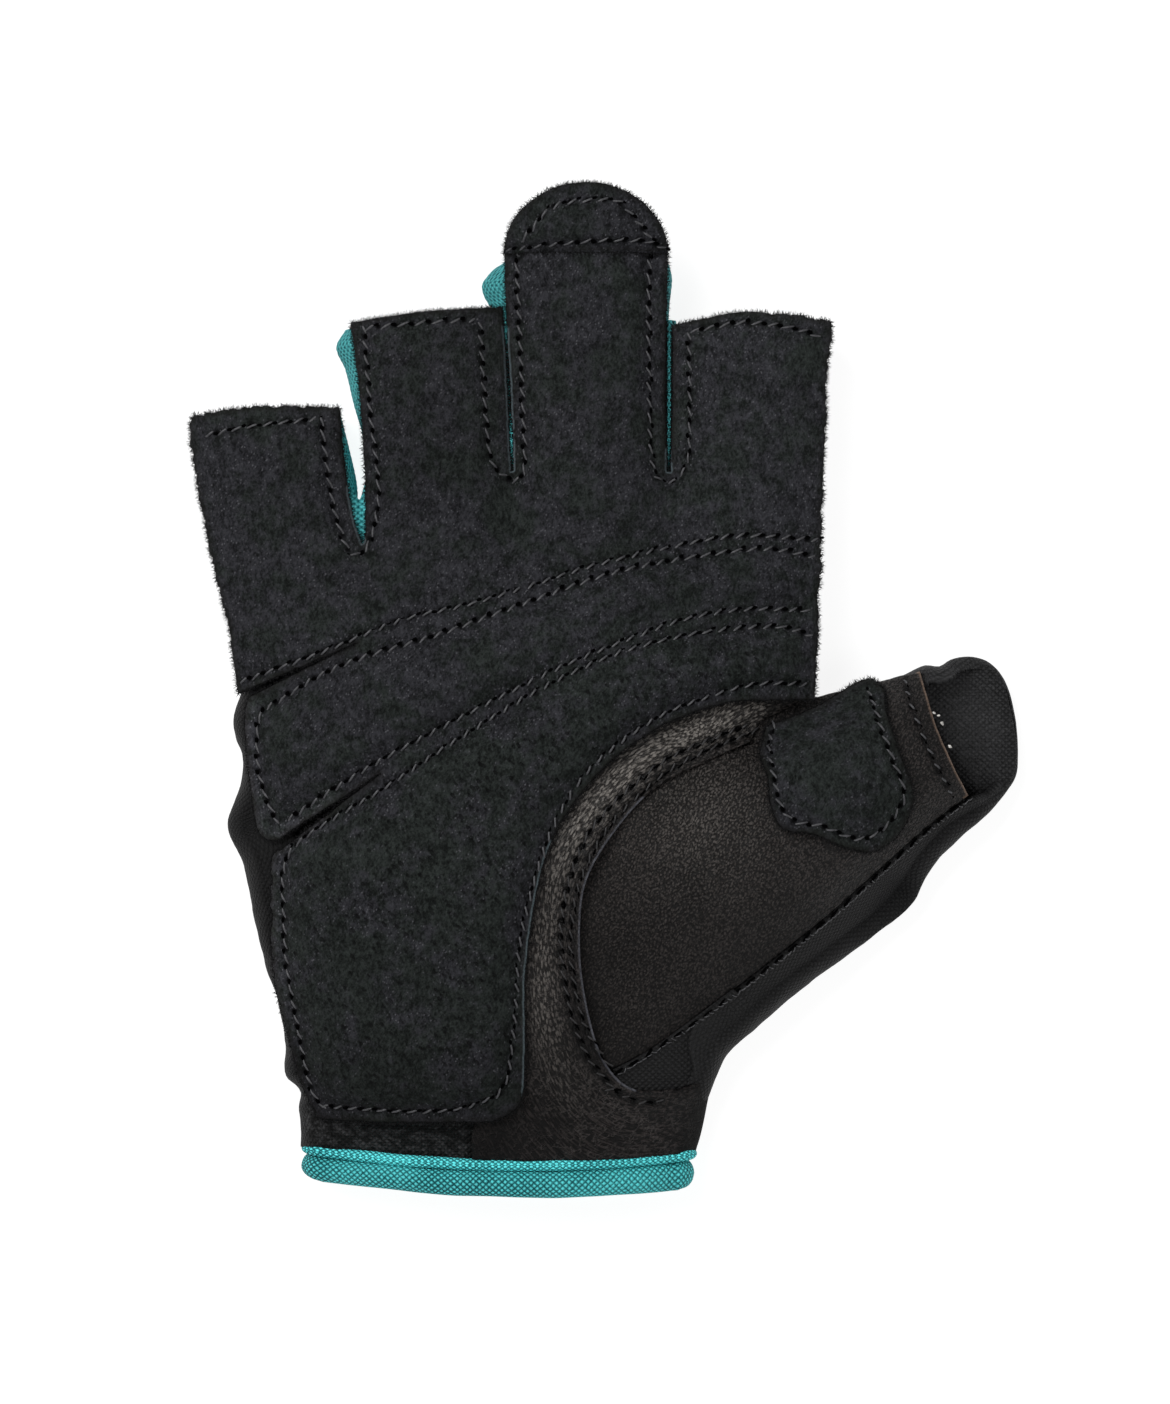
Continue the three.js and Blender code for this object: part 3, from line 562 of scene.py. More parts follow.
def newMesh(name, verts, faces, attributes=None, clothMap=None):
    mesh = bpy.data.meshes.new(name)
    mesh.from_pydata(np.asarray(verts) * mm, [], faces)
    mesh.polygons.foreach_set("use_smooth", np.ones(len(mesh.polygons), bool))
    for key, values in (attributes or {}).items():
        layer = mesh.attributes.new(key, "FLOAT", "POINT")
        layer.data.foreach_set("value", np.asarray(values, np.float32))
    if clothMap is not None:
        layer = mesh.uv_layers.new(name="clothMap")
        corners = np.empty(len(mesh.loops), np.int32)
        mesh.loops.foreach_get("vertex_index", corners)
        layer.data.foreach_set("uv", np.asarray(clothMap, np.float32)[corners].ravel())
    sealed = bmesh.new()
    sealed.from_mesh(mesh)
    bmesh.ops.remove_doubles(sealed, verts=sealed.verts, dist=1e-7)
    bmesh.ops.delete(sealed, geom=[vert for vert in sealed.verts if not vert.link_faces], context="VERTS")
    sealed.to_mesh(mesh)
    sealed.free()
    mesh.update()
    made = bpy.data.objects.new(name, mesh)
    scene.collection.objects.link(made)
    return made


def joinParts(parts):
    # parts are (verts, faces, attributes, clothMap); the result is one of the same
    verts, faces, maps = [], [], []
    attributes = {key: [] for key in parts[0][2]}
    start = 0
    for partVerts, partFaces, partAttributes, partMap in parts:
        verts.append(np.asarray(partVerts))
        faces += [tuple(i + start for i in face) for face in partFaces]
        maps.append(np.asarray(partMap))
        for key in attributes:
            attributes[key].append(np.asarray(partAttributes[key]))
        start += len(partVerts)
    attributes = {key: np.concatenate(values) for key, values in attributes.items()}
    return np.vstack(verts), faces, attributes, np.vstack(maps)


# How a panel's mesh is laid out, in millimetres or as shares of its rounding and spacing.
panelMesh = {
    "rings": (0.3, 1.0),
    "ringClear": 0.85,
    "inside": 0.4,
    "bands": (-0.75, -0.45, -0.15, 0.15, 0.45, 0.75),
    "bandClear": 0.15,
    "besideBand": 0.45,
    "rim": 1.2,
    "rawReach": 0.75,
    "rawFade": (0.42, 0.2),
}


def panelPart(loop, lowAt, highAt, spacing, rows=None, rounding=0.4, raw=None, coarse=2.5):
    # a sheet cut to a plan outline: a fine upper face with a rounded edge, a wall and a coarse underside
    edge = Near(loop)
    outward = outwardOf(loop)
    rings = []
    for offset in (share * rounding for share in panelMesh["rings"]):
        ring = loop - outward * offset
        rings.append(ring[edge.distance(*ring.T) > panelMesh["ringClear"] * offset])
    lattice = latticeInside(loop, spacing)
    lattice = lattice[edge.distance(*lattice.T) > rounding + panelMesh["inside"] * spacing]
    if rows:
        bands = panelMesh["bands"]
        band = rows.beside(bands)
        band = band[insideLoop(*band.T, loop)]
        band = band[edge.distance(*band.T) > rounding + panelMesh["bandClear"]]
        lattice = lattice[rows.near.distance(*lattice.T) > bands[-1] + panelMesh["besideBand"] * spacing]
        lattice = np.vstack([lattice, band])
    points, faces, rim = triangulate(loop, np.vstack([*rings, lattice]))
    x, y = points.T
    toEdge = edge.distance(x, y)
    toEdge[rim] = 0
    inset = np.clip(rounding - toEdge, 0, rounding)
    top = highAt(x, y) - (rounding - np.sqrt(rounding ** 2 - inset ** 2))
    groove, pit = (rows.grooveAt(x, y), rows.pitAt(x, y)) if rows else np.zeros((2, len(x)))
    if rows:
        top -= rows.dip(x, y) + rows.pit * pit
    underInner = latticeInside(loop, coarse)
    underInner = underInner[edge.distance(*underInner.T) > panelMesh["inside"] * coarse]
    underPoints, underFaces, underRim = triangulate(loop, underInner)
    verts = np.vstack([
        np.column_stack([points, top]),
        np.column_stack([underPoints, lowAt(*underPoints.T)]),
    ])
    count = len(points)
    allFaces = [tuple(face) for face in faces]
    allFaces += [tuple(i + count for i in reversed(face)) for face in underFaces]
    for i in range(len(rim)):
        j = (i + 1) % len(rim)
        allFaces.append((rim[j], rim[i], underRim[i] + count, underRim[j] + count))
    zeros = np.zeros(len(underPoints))
    pale = np.zeros(len(verts))
    if raw:
        pale = np.where(raw.distance(verts[:, 0], verts[:, 1]) < panelMesh["rawReach"], 1.0, 0.0)
        pale[:count] *= smooth(toEdge, *panelMesh["rawFade"])
    attributes = {
        "groove": np.concatenate([groove, zeros]),
        "pit": np.concatenate([pit, zeros]),
        "rim": np.concatenate([smooth(toEdge, panelMesh["rim"], 0), zeros]),
        "pale": pale,
    }
    return verts, allFaces, attributes, verts[:, :2]


# Padding and folds of the suede.
padding = {"middle": 1.4, "heel": 2.0, "puff": 0.35, "halfChannel": 1.6, "shoulder": 5.0, "edge": (0.6, 5.8)}
crease = {"deep": 0.35, "wide": 0.9}
creases = nearLines([(-39, 7), (-33, 10), (-28, 11)], [(-36, -13.6), (-30, -10), (-25, -7)])


def suedePadding(x, y):
    upper = channel("upper", x) - y
    lower = channel("lower", x) - y

    def lift(room):
        return smooth(room - padding["halfChannel"], 0, padding["shoulder"])

    middlePad = padding["middle"] * np.minimum(lift(upper), lift(-lower))
    heelPad = padding["heel"] * lift(lower)
    fingerPad = padding["puff"] * lift(-upper)
    pads = np.maximum(np.maximum(middlePad, heelPad), fingerPad)
    return pads * smooth(near["suede"].distance(x, y), *padding["edge"])


def suedeTop(x, y):
    calm = smooth(near["suede"].distance(x, y), 0, 3)
    folded = crease["deep"] * hump(creases.distance(x, y), crease["wide"])
    high = form(x, y) + layers["suede"]["high"] + suedePadding(x, y)
    return high + waves("suede", x, y) * calm + waves("nap", x, y) - folded


suedeUnder = level("suede", "low")

# The tab is thin where it is sewn down over the finger, and full from there on.
tabSeat = {"gap": 0.02, "skived": 0.26, "swell": 0.35, "full": 2.4, "free": 3}


def tabTop(x, y):
    up = y - tab["y"]
    skived = smooth(up, 0, tabSeat["full"])
    swell = tabSeat["swell"] * smooth(near["tab"].distance(x, y), 0.5, 4) * skived
    foot = tabSeat["gap"] + (tabSeat["skived"] - tabSeat["gap"]) * smooth(up, 0, tabSeat["full"] / 2)
    thick = foot + (layers["tab"]["high"] - layers["tab"]["low"] - tabSeat["skived"]) * skived
    return tabUnder(x, y) + thick + swell + waves("tab", x, y)


def tabUnder(x, y):
    seat = suedeTop(x, y) + tabSeat["gap"]
    free = form(x, y) + layers["tab"]["low"]
    return seat + (free - seat) * smooth(y - tab["y"], 0, tabSeat["free"])


# The palm leather wraps down round the thumb side of the wrist, and wrinkles along the edge of the hole.
leather = {
    "wrapReach": 3.2,
    "wrapSide": 4.4,
    "folds": 0.22,
    "foldSize": 9,
    "foldTurn": math.radians(60),
    "wrinkles": 0.08,
    "lowWrinkles": 0.3,
    "wrinkleSize": 5,
    "squeeze": 2.6,
    "skived": 0.5,
    "skivedAbove": 0.35,
    "skivedWide": 1.3,
    "restWide": 1.6,
    "restGap": 0.03,
    "slack": 0.25,
}
wristEdge = nearLines(
    [(18.3, -57), (17.4, -59.8), (16.8, -61.9), (16.2, -64.8), (15.3, -69.2), (14.4, -72.4)], step=0.2,
)
holeLine = np.array(splinePoints(
    [(24, -58), (16, -60.2), (12.4, -61.4), *rawEdges["leather"][0][:-1], (7.6, -15.4), (16.6, -10.7),
     (24.2, -5), (34, -2)], 0.25,
))
holeRun = runAlong(holeLine)
holeNear = Near(holeLine)
ballEdge = Near(holeLine[(holeLine[:, 0] < 14) & (holeRun > 8)])


def wrapped(x, y, height):
    side = leather["wrapSide"]
    share = 1 - np.clip(wristEdge.distance(x, y) / leather["wrapReach"], 0, 1)
    return side + (height - side) * np.sqrt(np.maximum(1 - share ** 2, 0))


def leatherTop(x, y):
    toHole, place = holeNear.find(x, y)
    folds = leather["folds"] * fbm(x, y, leather["foldSize"], 1.7, 3, leather["squeeze"], leather["foldTurn"])
    below = smooth(-y, 48, 58) * smooth(x, 18, 2)
    wrinkles = fbm(holeRun[place], toHole, leather["wrinkleSize"], 4.2, 3, leather["squeeze"])
    wrinkles *= leather["wrinkles"] + leather["lowWrinkles"] * below
    skived = leather["skived"] + leather["skivedAbove"] * smooth(y, -26, -14)
    high = form(x, y) + layers["leather"]["high"] + folds + wrinkles
    return wrapped(x, y, high - skived * hump(toHole, leather["skivedWide"]))


def leatherUnder(x, y):
    # it lies on the thumb's leather along the hole
    under = wrapped(x, y, form(x, y) + layers["leather"]["low"]) - leather["slack"]
    resting = hump(ballEdge.distance(x, y), leather["restWide"]) * smooth(y, -60, -54)
    return under + (thumbTop(x, y) + leather["restGap"] - under) * resting


def leatherMap(x, y):
    toHole, place = holeNear.find(x, y)
    return np.column_stack([holeRun[place], toHole])


# Where the leathers are polished and creased, with painted highlights there, and where painted shade darkens
# them.
leatherPolishLightAndShade = {
    "strip": 0.42,
    "turn": 0.5,
    "stripWide": 2.9,
    "creaseHighlight": 0.45,
    "lowCreaseHighlight": 0.65,
    "low": 0.1,
    "belowHole": 0.26,
    "corner": 0.3,
    "side": 0.75,
    "sideWide": 3,
}
polishAndHighlightLine = nearLines([
    (-5.4, -63), (-8.6, -55), (-10, -46), (-8.6, -34), (-5, -23), (1, -15), (8, -9.6), (16, -5.6), (24, -3),
])


def leatherPolishAndHighlight(x, y):
    # the strip round the hole is polished and gets a painted highlight, most of all where it turns towards
    # the thumb
    polish = leatherPolishLightAndShade["strip"] + leatherPolishLightAndShade["turn"] * smooth(y, -34, -16) * smooth(x, 28, 16)
    return hump(polishAndHighlightLine.distance(x, y), leatherPolishLightAndShade["stripWide"]) * polish * smooth(y, -76, -50)


def leatherCreaseHighlight(x, y):
    return leatherPolishLightAndShade["creaseHighlight"] + leatherPolishLightAndShade["lowCreaseHighlight"] * smooth(-y, 40, 54) * smooth(x, 14, 2)


def leatherShade(x, y):
    low = leatherPolishLightAndShade["low"] * smooth(-y, 40, 56)
    belowHole = leatherPolishLightAndShade["belowHole"] * smooth(-y, 46, 56) * smooth(x, 4, -4)
    corner = leatherPolishLightAndShade["corner"] * smooth(-x, 9, 18) * smooth(-y, 62, 68)
    side = leatherPolishLightAndShade["side"] * hump(wristEdge.distance(x, y), leatherPolishLightAndShade["sideWide"])
    return low + belowHole + corner + side


# The ball of the thumb falls away from the edge of the hole and then swells. A highlight is painted on the
# swell, and shade along the hole, low down and at the edge.
ball = {
    "grain": math.radians(58),
    "foldTurn": math.radians(52),
    "folds": 0.5,
    "foldSize": 24,
    "squeeze": 2.4,
    "smallFolds": 0.12,
    "smallSize": 7,
    "valley": 0.25,
    "lowValley": 1.05,
    "valleyAt": 1.5,
    "valleyWide": 4.5,
    "polishAndHighlight": 0.05,
    "swellPolishAndHighlight": 0.26,
    "creaseHighlight": 0.34,
    "holeShade": 0.2,
    "holeShadeWide": 5,
    "lowShade": 0.22,
    "edgeShade": 0.2,
    "edgeShadeWide": 2.5,
}


def thumbMap(x, y):
    return np.column_stack(turned(x, y, ball["grain"]))


def thumbPolishAndHighlight(x, y):
    return ball["polishAndHighlight"] + ball["swellPolishAndHighlight"] * spot(x, y, (15, -19), (10, 10))


def thumbShade(x, y):
    atHole = ball["holeShade"] * hump(ballEdge.distance(x, y), ball["holeShadeWide"])
    atEdge = ball["edgeShade"] * hump(near["thumb"].distance(x, y), ball["edgeShadeWide"])
    return atHole + ball["lowShade"] * smooth(-y, 24, 42) + atEdge


def thumbDip(x, y):
    valley = ball["valley"] + ball["lowValley"] * smooth(-y, 14, 30)
    valley *= hump(ballEdge.distance(x, y) - ball["valleyAt"], ball["valleyWide"])
    folds = ball["folds"] * fbm(x, y, ball["foldSize"], 9.2, 2, ball["squeeze"], ball["foldTurn"])
    folds += ball["smallFolds"] * fbm(x, y, ball["smallSize"], 2.9, 2, 2, ball["foldTurn"])
    return (folds - valley) * smooth(near["thumb"].distance(x, y), 0, 5)


def thumbTop(x, y):
    return form(x, y) + layers["thumb"]["high"] + thumbDip(x, y) + waves("thumb", x, y)


def thumbUnder(x, y):
    return form(x, y) + layers["thumb"]["low"] + thumbDip(x, y)


patchSwell = 0.5
patchUnder = level("patch", "low")


def patchTop(x, y):
    swell = patchSwell * smooth(near["patch"].distance(x, y), 1.5, 6)
    return form(x, y) + layers["patch"]["high"] + swell + waves("patch", x, y)


def addNode(tree, kind, settings, inputs):
    # a node with its settings, and then the values or links of its sockets
    made = tree.nodes.new(kind)
    for key, value in (settings or {}).items():
        setattr(made, key, value)
    for key, value in (inputs or {}).items():
        if isinstance(value, bpy.types.NodeSocket):
            tree.links.new(value, made.inputs[key])
        else:
            made.inputs[key].default_value = value
    return made


# Shader maths: a number that a node gives, with the usual operators.
class Signal:
    def __init__(self, shader, socket):
        self.shader, self.socket = shader, socket

    def maths(self, operation, *others):
        return self.shader.node("ShaderNodeMath", {"operation": operation}, dict(enumerate([self, *others])))

    def __add__(self, other):
        return self.maths("ADD", other)

    def __sub__(self, other):
        return self.maths("SUBTRACT", other)

    def __rsub__(self, other):
        return self.shader.node("ShaderNodeMath", {"operation": "SUBTRACT"}, {0: other, 1: self})

    def __mul__(self, other):
        return self.maths("MULTIPLY", other)

    def __truediv__(self, other):
        return self.maths("DIVIDE", other)

    __radd__ = __add__
    __rmul__ = __mul__


class Shader:
    def __init__(self, name):
        self.material = bpy.data.materials.new(name)
        self.material.use_nodes = True
        self.tree = self.material.node_tree
        self.tree.nodes.clear()

    def node(self, kind, settings=None, inputs=None, output=0):
        linked = {key: getattr(value, "socket", value) for key, value in (inputs or {}).items()}
        return Signal(self, addNode(self.tree, kind, settings, linked).outputs[output])

    def place(self, scale, turn=0.0, source="Object"):
        # a point in millimetres, turned and then stretched
        if not isinstance(scale, tuple):
            scale = (scale, scale, scale)
        if source == "Object":
            point = self.node("ShaderNodeTexCoord", output="Object")
            scale = tuple(s / mm for s in scale)
        else:
            point = self.node("ShaderNodeUVMap", {"uv_map": source})
        point = self.node("ShaderNodeMapping", {}, {"Vector": point, "Rotation": (0, 0, turn)})
        return self.node("ShaderNodeMapping", {}, {"Vector": point, "Scale": scale})

    def noise(self, point, detail=3.0, roughness=0.55):
        inputs = {"Vector": point, "Scale": 1.0, "Detail": detail, "Roughness": roughness}
        return self.node("ShaderNodeTexNoise", {}, inputs)

    def cells(self, point):
        inputs = {"Vector": point, "Scale": 1.0}
        return self.node("ShaderNodeTexVoronoi", {"feature": "F1"}, inputs, output="Distance")

    def ramp(self, value, low, high, start=0.0, end=1.0):
        settings = {"interpolation_type": "SMOOTHSTEP"}
        inputs = {"Value": value, "From Min": low, "From Max": high, "To Min": start, "To Max": end}
        return self.node("ShaderNodeMapRange", settings, inputs)

    def mix(self, factor, first, second):
        first, second = (color if isinstance(color, Signal) else (*color, 1) for color in (first, second))
        return self.node("ShaderNodeMix", {"data_type": "RGBA"}, {0: factor, 6: first, 7: second}, output=2)

    def scaled(self, color, factor):
        return self.node("ShaderNodeVectorMath", {"operation": "SCALE"}, {0: color, "Scale": factor})

    def attribute(self, name):
        return self.node("ShaderNodeAttribute", {"attribute_name": name}, output="Fac")

    def axis(self, point, index):
        return self.node("ShaderNodeSeparateXYZ", {}, {"Vector": point}, output=index)

    def bump(self, height, depth):
        # depth is in millimetres for a height from 0 to 1
        return self.node("ShaderNodeBump", {}, {"Height": height, "Distance": depth * mm, "Strength": 1.0})

    def finish(self, color, roughness, normal, **constants):
        inputs = {"Base Color": color, "Roughness": roughness}
        if normal is not None:
            inputs["Normal"] = normal
        for key, value in constants.items():
            inputs[key.replace("_", " ")] = value
        surface = self.node("ShaderNodeBsdfPrincipled", {}, inputs)
        addNode(self.tree, "ShaderNodeOutputMaterial", {}, {"Surface": surface.socket})
        return self.material


suedeLook = {
    "greenDark": (0.0048, 0.0057, 0.0053),
    "greenLight": (0.0310, 0.0368, 0.0342),
    "grayDark": (0.0054, 0.0055, 0.0064),
    "grayLight": (0.0390, 0.0392, 0.0452),
    "fleck": (0.118, 0.119, 0.130),
    "rim": (0.0095, 0.0088, 0.0078),
    "hole": (0.0022, 0.0022, 0.0025),
    "pale": (0.100, 0.128, 0.140),
    "cloudScale": 0.13,
    "patchScale": 0.5,
    "grainScale": 2.3,
    "warpScale": 0.9,
    "napScale": (0.8, 2.2, 1.4),
    "napTurn": math.radians(78),
    "hairScale": (0.9, 3.4, 2),
    "hairTurn": math.radians(124),
    "fleckScale": (1.7, 1.25, 1.4),
    "fleckTurn": math.radians(30),
    "dentScale": (0.46, 0.98, 0.7),
    "dentTurn": math.radians(47),
    "fleckAmount": 0.66,
    "rimAmount": 0.55,
    "dentAmount": 0.55,
    "grooveAmount": 0.24,
    "pitAmount": 0.9,
    "toneRange": (0.4, 0.62),
    "grayRange": (0.4, 0.56),
    "roughness": 0.96,
    "gloss": 0.1,
    "depth": 0.34,
}


def suedeMaterial(look):
    s = Shader("mottled suede")
    cloud = s.noise(s.place(look["cloudScale"]), roughness=0.6)
    patch = s.noise(s.place(look["patchScale"]), roughness=0.65)
    grain = s.noise(s.place(look["grainScale"]), roughness=0.85)
    nap = s.noise(s.place(look["napScale"], look["napTurn"]), roughness=0.7)
    hair = s.noise(s.place(look["hairScale"], look["hairTurn"]), detail=2, roughness=0.7)
    heel = s.attribute("heel")
    groove = s.attribute("groove")
    # pale flecks of nap all over, and more near the stitch grooves as a painted highlight on the raised nap
    speck = s.cells(s.place(look["fleckScale"], look["fleckTurn"]))
    fleck = s.ramp(speck, 0.3, 0.08) * s.ramp(patch * 0.5 + cloud * 0.5 + groove * 0.14, 0.45, 0.58)
    warp = s.noise(s.place(look["warpScale"]), detail=2)
    dent = s.cells(s.place(look["dentScale"], look["dentTurn"])) + warp * 0.35
    dents = s.ramp(dent, 0.46, 0.3) * (0.3 + 0.7 * heel)  # most of all on the heel pad
    tone = s.ramp(patch * 0.24 + grain * 0.34 + nap * 0.24 + hair * 0.18, *look["toneRange"])
    green = s.mix(tone, look["greenDark"], look["greenLight"])
    gray = s.mix(tone, look["grayDark"], look["grayLight"])
    color = s.mix(s.ramp(cloud * 0.6 + patch * 0.4 - heel * 0.06, *look["grayRange"]), green, gray)
    color = s.mix(fleck * look["fleckAmount"], color, look["fleck"])
    color = s.mix(s.attribute("rim") * look["rimAmount"], color, look["rim"])
    # painted light and shade, with wear, over the suede from its tone attribute
    color = s.scaled(color, 1 + s.attribute("tone"))
    shade = dents * look["dentAmount"] + groove * look["grooveAmount"]
    shade = s.ramp(shade + s.attribute("pit") * look["pitAmount"], 0, 1)
    color = s.mix(shade, color, look["hole"])
    color = s.mix(s.attribute("pale") * s.ramp(grain, 0.3, 0.6, 0.45, 1), color, look["pale"])
    height = patch * 0.2 + nap * 0.35 + grain * 0.45 + fleck * 0.3 - dents * 0.8
    return s.finish(color, look["roughness"], s.bump(height, look["depth"]), Specular_IOR_Level=look["gloss"])


leatherLook = {
    "dark": (0.0022, 0.0018, 0.0018),
    "light": (0.0300, 0.0250, 0.0238),
    # crease is the colour of the highlight painted on the crease ridges
    "crease": (0.060, 0.053, 0.051),
    "polishAndHighlight": (0.245, 0.226, 0.206),
    "hole": (0.0018, 0.0016, 0.0016),
    "toneRange": (0.68, 0.94),
    "shineRange": (0.64, 1.01),
    "bendScale": 0.35,
    "crumbScale": 2.3,
    "softScale": 0.1,
    "creaseScale": (0.46, 0.8, 0.6),
    "creaseTurn": math.radians(-24),
    "creaseWide": 0.06,
    "grooveAmount": 0.5,
    "pitAmount": 1.3,
    "roughness": 0.46,
    "wornRoughness": 0.32,
    "gloss": 0.18,
    "depth": 0.3,
}
palmLook = {**leatherLook, "pale": (0.110, 0.112, 0.130), "beadLong": 0.85, "beadWide": 0.42}
thumbLook = {**leatherLook, "pale": (0.190, 0.128, 0.094), "beadLong": 0.5, "beadWide": 0.36}


def leatherMaterial(name, look):
    # beads and strands of grain run along the leather's own map, and creases slant across the glove
    s = Shader(name)
    bend = s.noise(s.place(look["bendScale"], source="clothMap"), detail=2)
    laid = s.place((1 / look["beadLong"], 1 / look["beadWide"], 1), source="clothMap")
    bead = s.cells(s.node("ShaderNodeVectorMath", {"operation": "ADD"}, {0: laid, 1: bend}))
    finer = s.place((1 / look["beadLong"], 1.5 / look["beadWide"], 1), source="clothMap")
    strand = s.noise(finer, roughness=0.65)
    crumb = s.noise(s.place(look["crumbScale"]), detail=2, roughness=0.7)
    wrinkle = s.noise(s.place(look["creaseScale"], look["creaseTurn"]), detail=2)
    ridge = s.ramp((wrinkle - 0.5).maths("ABSOLUTE"), 0.0, look["creaseWide"], 1.0, 0.0)
    ridge = ridge * s.ramp(crumb, 0.36, 0.6, 0.15, 1.0)
    soft = s.noise(s.place(look["softScale"]))
    polishAndHighlight = s.attribute("polishAndHighlight")
    peak = s.ramp(bead, 0.72, 0.26)
    height = peak * (0.25 + 0.3 * polishAndHighlight) + strand * 0.6 + crumb * 0.25 + ridge * 0.55 + wrinkle * 0.5
    tone = s.ramp(strand * 0.8 + peak * 0.2 + crumb * 0.3 + soft * 0.2, *look["toneRange"])
    color = s.mix(tone, look["dark"], look["light"])
    # painted highlight along the crease ridges
    color = s.mix(ridge * s.ramp(soft, 0.35, 0.6, 0.3, 1.0) * s.attribute("creaseHighlight"), color, look["crease"])
    # painted highlight on the grain peaks where the leather is polished, in the polish colour
    shine = s.ramp(strand + peak * 0.25 + crumb * 0.2 + polishAndHighlight * 0.08, *look["shineRange"], 0.07, 1)
    color = s.mix(polishAndHighlight * shine, color, look["polishAndHighlight"])
    shade = s.attribute("groove") * look["grooveAmount"] + s.attribute("pit") * look["pitAmount"]
    color = s.mix(s.ramp(shade + s.attribute("shade"), 0, 1), color, look["hole"])
    color = s.mix(s.attribute("pale") * s.ramp(crumb, 0.25, 0.6, 0.5, 1), color, look["pale"])
    roughness = s.ramp(polishAndHighlight, 0, 1, look["roughness"], look["wornRoughness"]) + s.attribute("shade") * 0.5
    return s.finish(color, roughness, s.bump(height, look["depth"]), Specular_IOR_Level=look["gloss"])


tealLook = {
    "dark": (0.0008, 0.070, 0.080),
    "light": (0.125, 0.80, 0.82),
    "loopWide": 1.0,
    "loopTall": 0.88,
    "tone": (0.2, 0.84),
    "weave": 0.54,
    "yarn": 0.56,
    "roughness": 0.8,
    "gloss": 0.2,
    "depth": 0.24,
}
gussetLook = {**tealLook, "light": (0.105, 0.52, 0.54), "loopWide": 1.16, "loopTall": 0.9}
blackLook = {
    "dark": (0.0014, 0.0014, 0.0015),
    "light": (0.0168, 0.0168, 0.0175),
    "loopWide": 1.04,
    "loopTall": 0.9,
    "tone": (0.22, 0.98),
    "weave": 0.3,
    "yarn": 0.86,
    "roughness": 0.75,
    "gloss": 0.25,
    "depth": 0.2,
}


def knitMaterial(name, look, rib=0.0):
    # loops in staggered rows on the cloth's own map, which is in millimetres
    s = Shader(name)
    point = s.node("ShaderNodeUVMap", {"uv_map": "clothMap"})
    wobble = s.noise(s.place(0.5, source="clothMap"), detail=2)
    u = s.axis(point, 0) + wobble * 0.4
    v = s.axis(point, 1) + wobble * 0.3
    diagonal = (u / look["loopWide"] + v / look["loopTall"]) * math.pi
    counter = (u / look["loopWide"] - v / look["loopTall"]) * math.pi
    loops = (diagonal.maths("SINE") * counter.maths("SINE")).maths("ABSOLUTE")
    ribs = (u * (2 * math.pi / look["loopWide"])).maths("SINE").maths("ABSOLUTE")
    yarn = s.noise(s.place(2.2, source="clothMap"), detail=2, roughness=0.7)
    height = loops * (1 - rib) + ribs * rib
    fade = s.noise(s.place(0.06))
    # lift is painted light, and below zero painted shade, as a share of the colour; strong lift also softens
    # the loops
    lift = s.attribute("lift")
    soft = s.ramp(lift, 1.2, 1.9, 0.0, 0.7)
    tone = height * look["weave"] * (1 - soft) + yarn * look["yarn"] + (fade - 0.5) * 0.5 + soft * 0.14
    color = s.mix(s.ramp(tone, *look["tone"]), look["dark"], look["light"])
    # painted light and shade of crumpled knit, in blotches
    crumpleShading = s.ramp(s.noise(s.place((0.6, 1.1, 0.8)), roughness=0.6), 0.42, 0.62, -0.6, 2.2)
    color = s.scaled(color, 1 + lift + s.attribute("crumpleShading") * crumpleShading)
    normal = s.bump(height * (1 - soft) + yarn * 0.35, look["depth"])
    return s.finish(color, look["roughness"], normal, Specular_IOR_Level=look["gloss"])


def plainMaterial(name, color, roughness, gloss):
    s = Shader(name)
    speck = s.noise(s.place(2.5), detail=2)
    dark, light = (tuple(min(1, c * share) for c in color) for share in (0.6, 1.25))
    return s.finish(s.mix(s.ramp(speck, 0.3, 0.7), dark, light), roughness, None, Specular_IOR_Level=gloss)


finishes = {
    "suede": suedeMaterial(suedeLook),
    "palmLeather": leatherMaterial("wrinkled palm leather", palmLook),
    "thumbLeather": leatherMaterial("grained thumb leather", thumbLook),
    "blackKnit": knitMaterial("black stretch mesh", blackLook),
    "tealKnit": knitMaterial("teal rib knit", gussetLook, 0.35),
    "tealBinding": knitMaterial("teal binding knit", tealLook),
    "thread": plainMaterial("gray thread", (0.062, 0.062, 0.067), 0.45, 0.5),
    "dimThread": plainMaterial("dark gray thread", (0.036, 0.035, 0.036), 0.5, 0.3),
    "fuzz": plainMaterial("torn suede fibre", (0.012, 0.012, 0.0125), 0.9, 0.1),
    "lint": plainMaterial("pale thread ends", (0.62, 0.60, 0.57), 0.8, 0.2),
    # near-black discs of painted shade in the needle holes, also used for the thumb seam's dark dashes
    "hole": plainMaterial("needle hole", (0.0008, 0.0008, 0.0009), 0.95, 0.02),
}
print("materials made")


def dress(made, finish, nodes, slot):
    made.data.materials.clear()
    made.data.materials.append(finishes[finish])
    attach(made, "root")
    if nodes:
        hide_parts(*nodes)
    print(f"{made.name}: {sum(len(face.vertices) - 2 for face in made.data.polygons)} triangles")


def addPanel(name, parts, finish, node, slot, shown=None, mapAt=None):
    # shown holds what the material reads at each place in plan
    verts, faces, attributes, clothMap = joinParts(parts)
    x, y = verts[:, 0], verts[:, 1]
    if mapAt:
        clothMap = mapAt(x, y)
    attributes.update({key: at(x, y) for key, at in (shown or {}).items()})
    dress(newMesh(name, verts, faces, attributes, clothMap), finish, [node], slot)


def heelMask(x, y):
    return smooth(channel("lower", x) - y, 0, 6) * smooth(near["suede"].distance(x, y), 1.5, 4)


# Painted light and shade, and wear: the suede is paler where handled and at its lit side edge, darker by the
# ring finger and wrist.
suedeWearAndLight = {"index": 0.16, "side": 0.6, "band": 0.14, "ring": 0.13, "heel": 0.08, "wrist": 0.2}


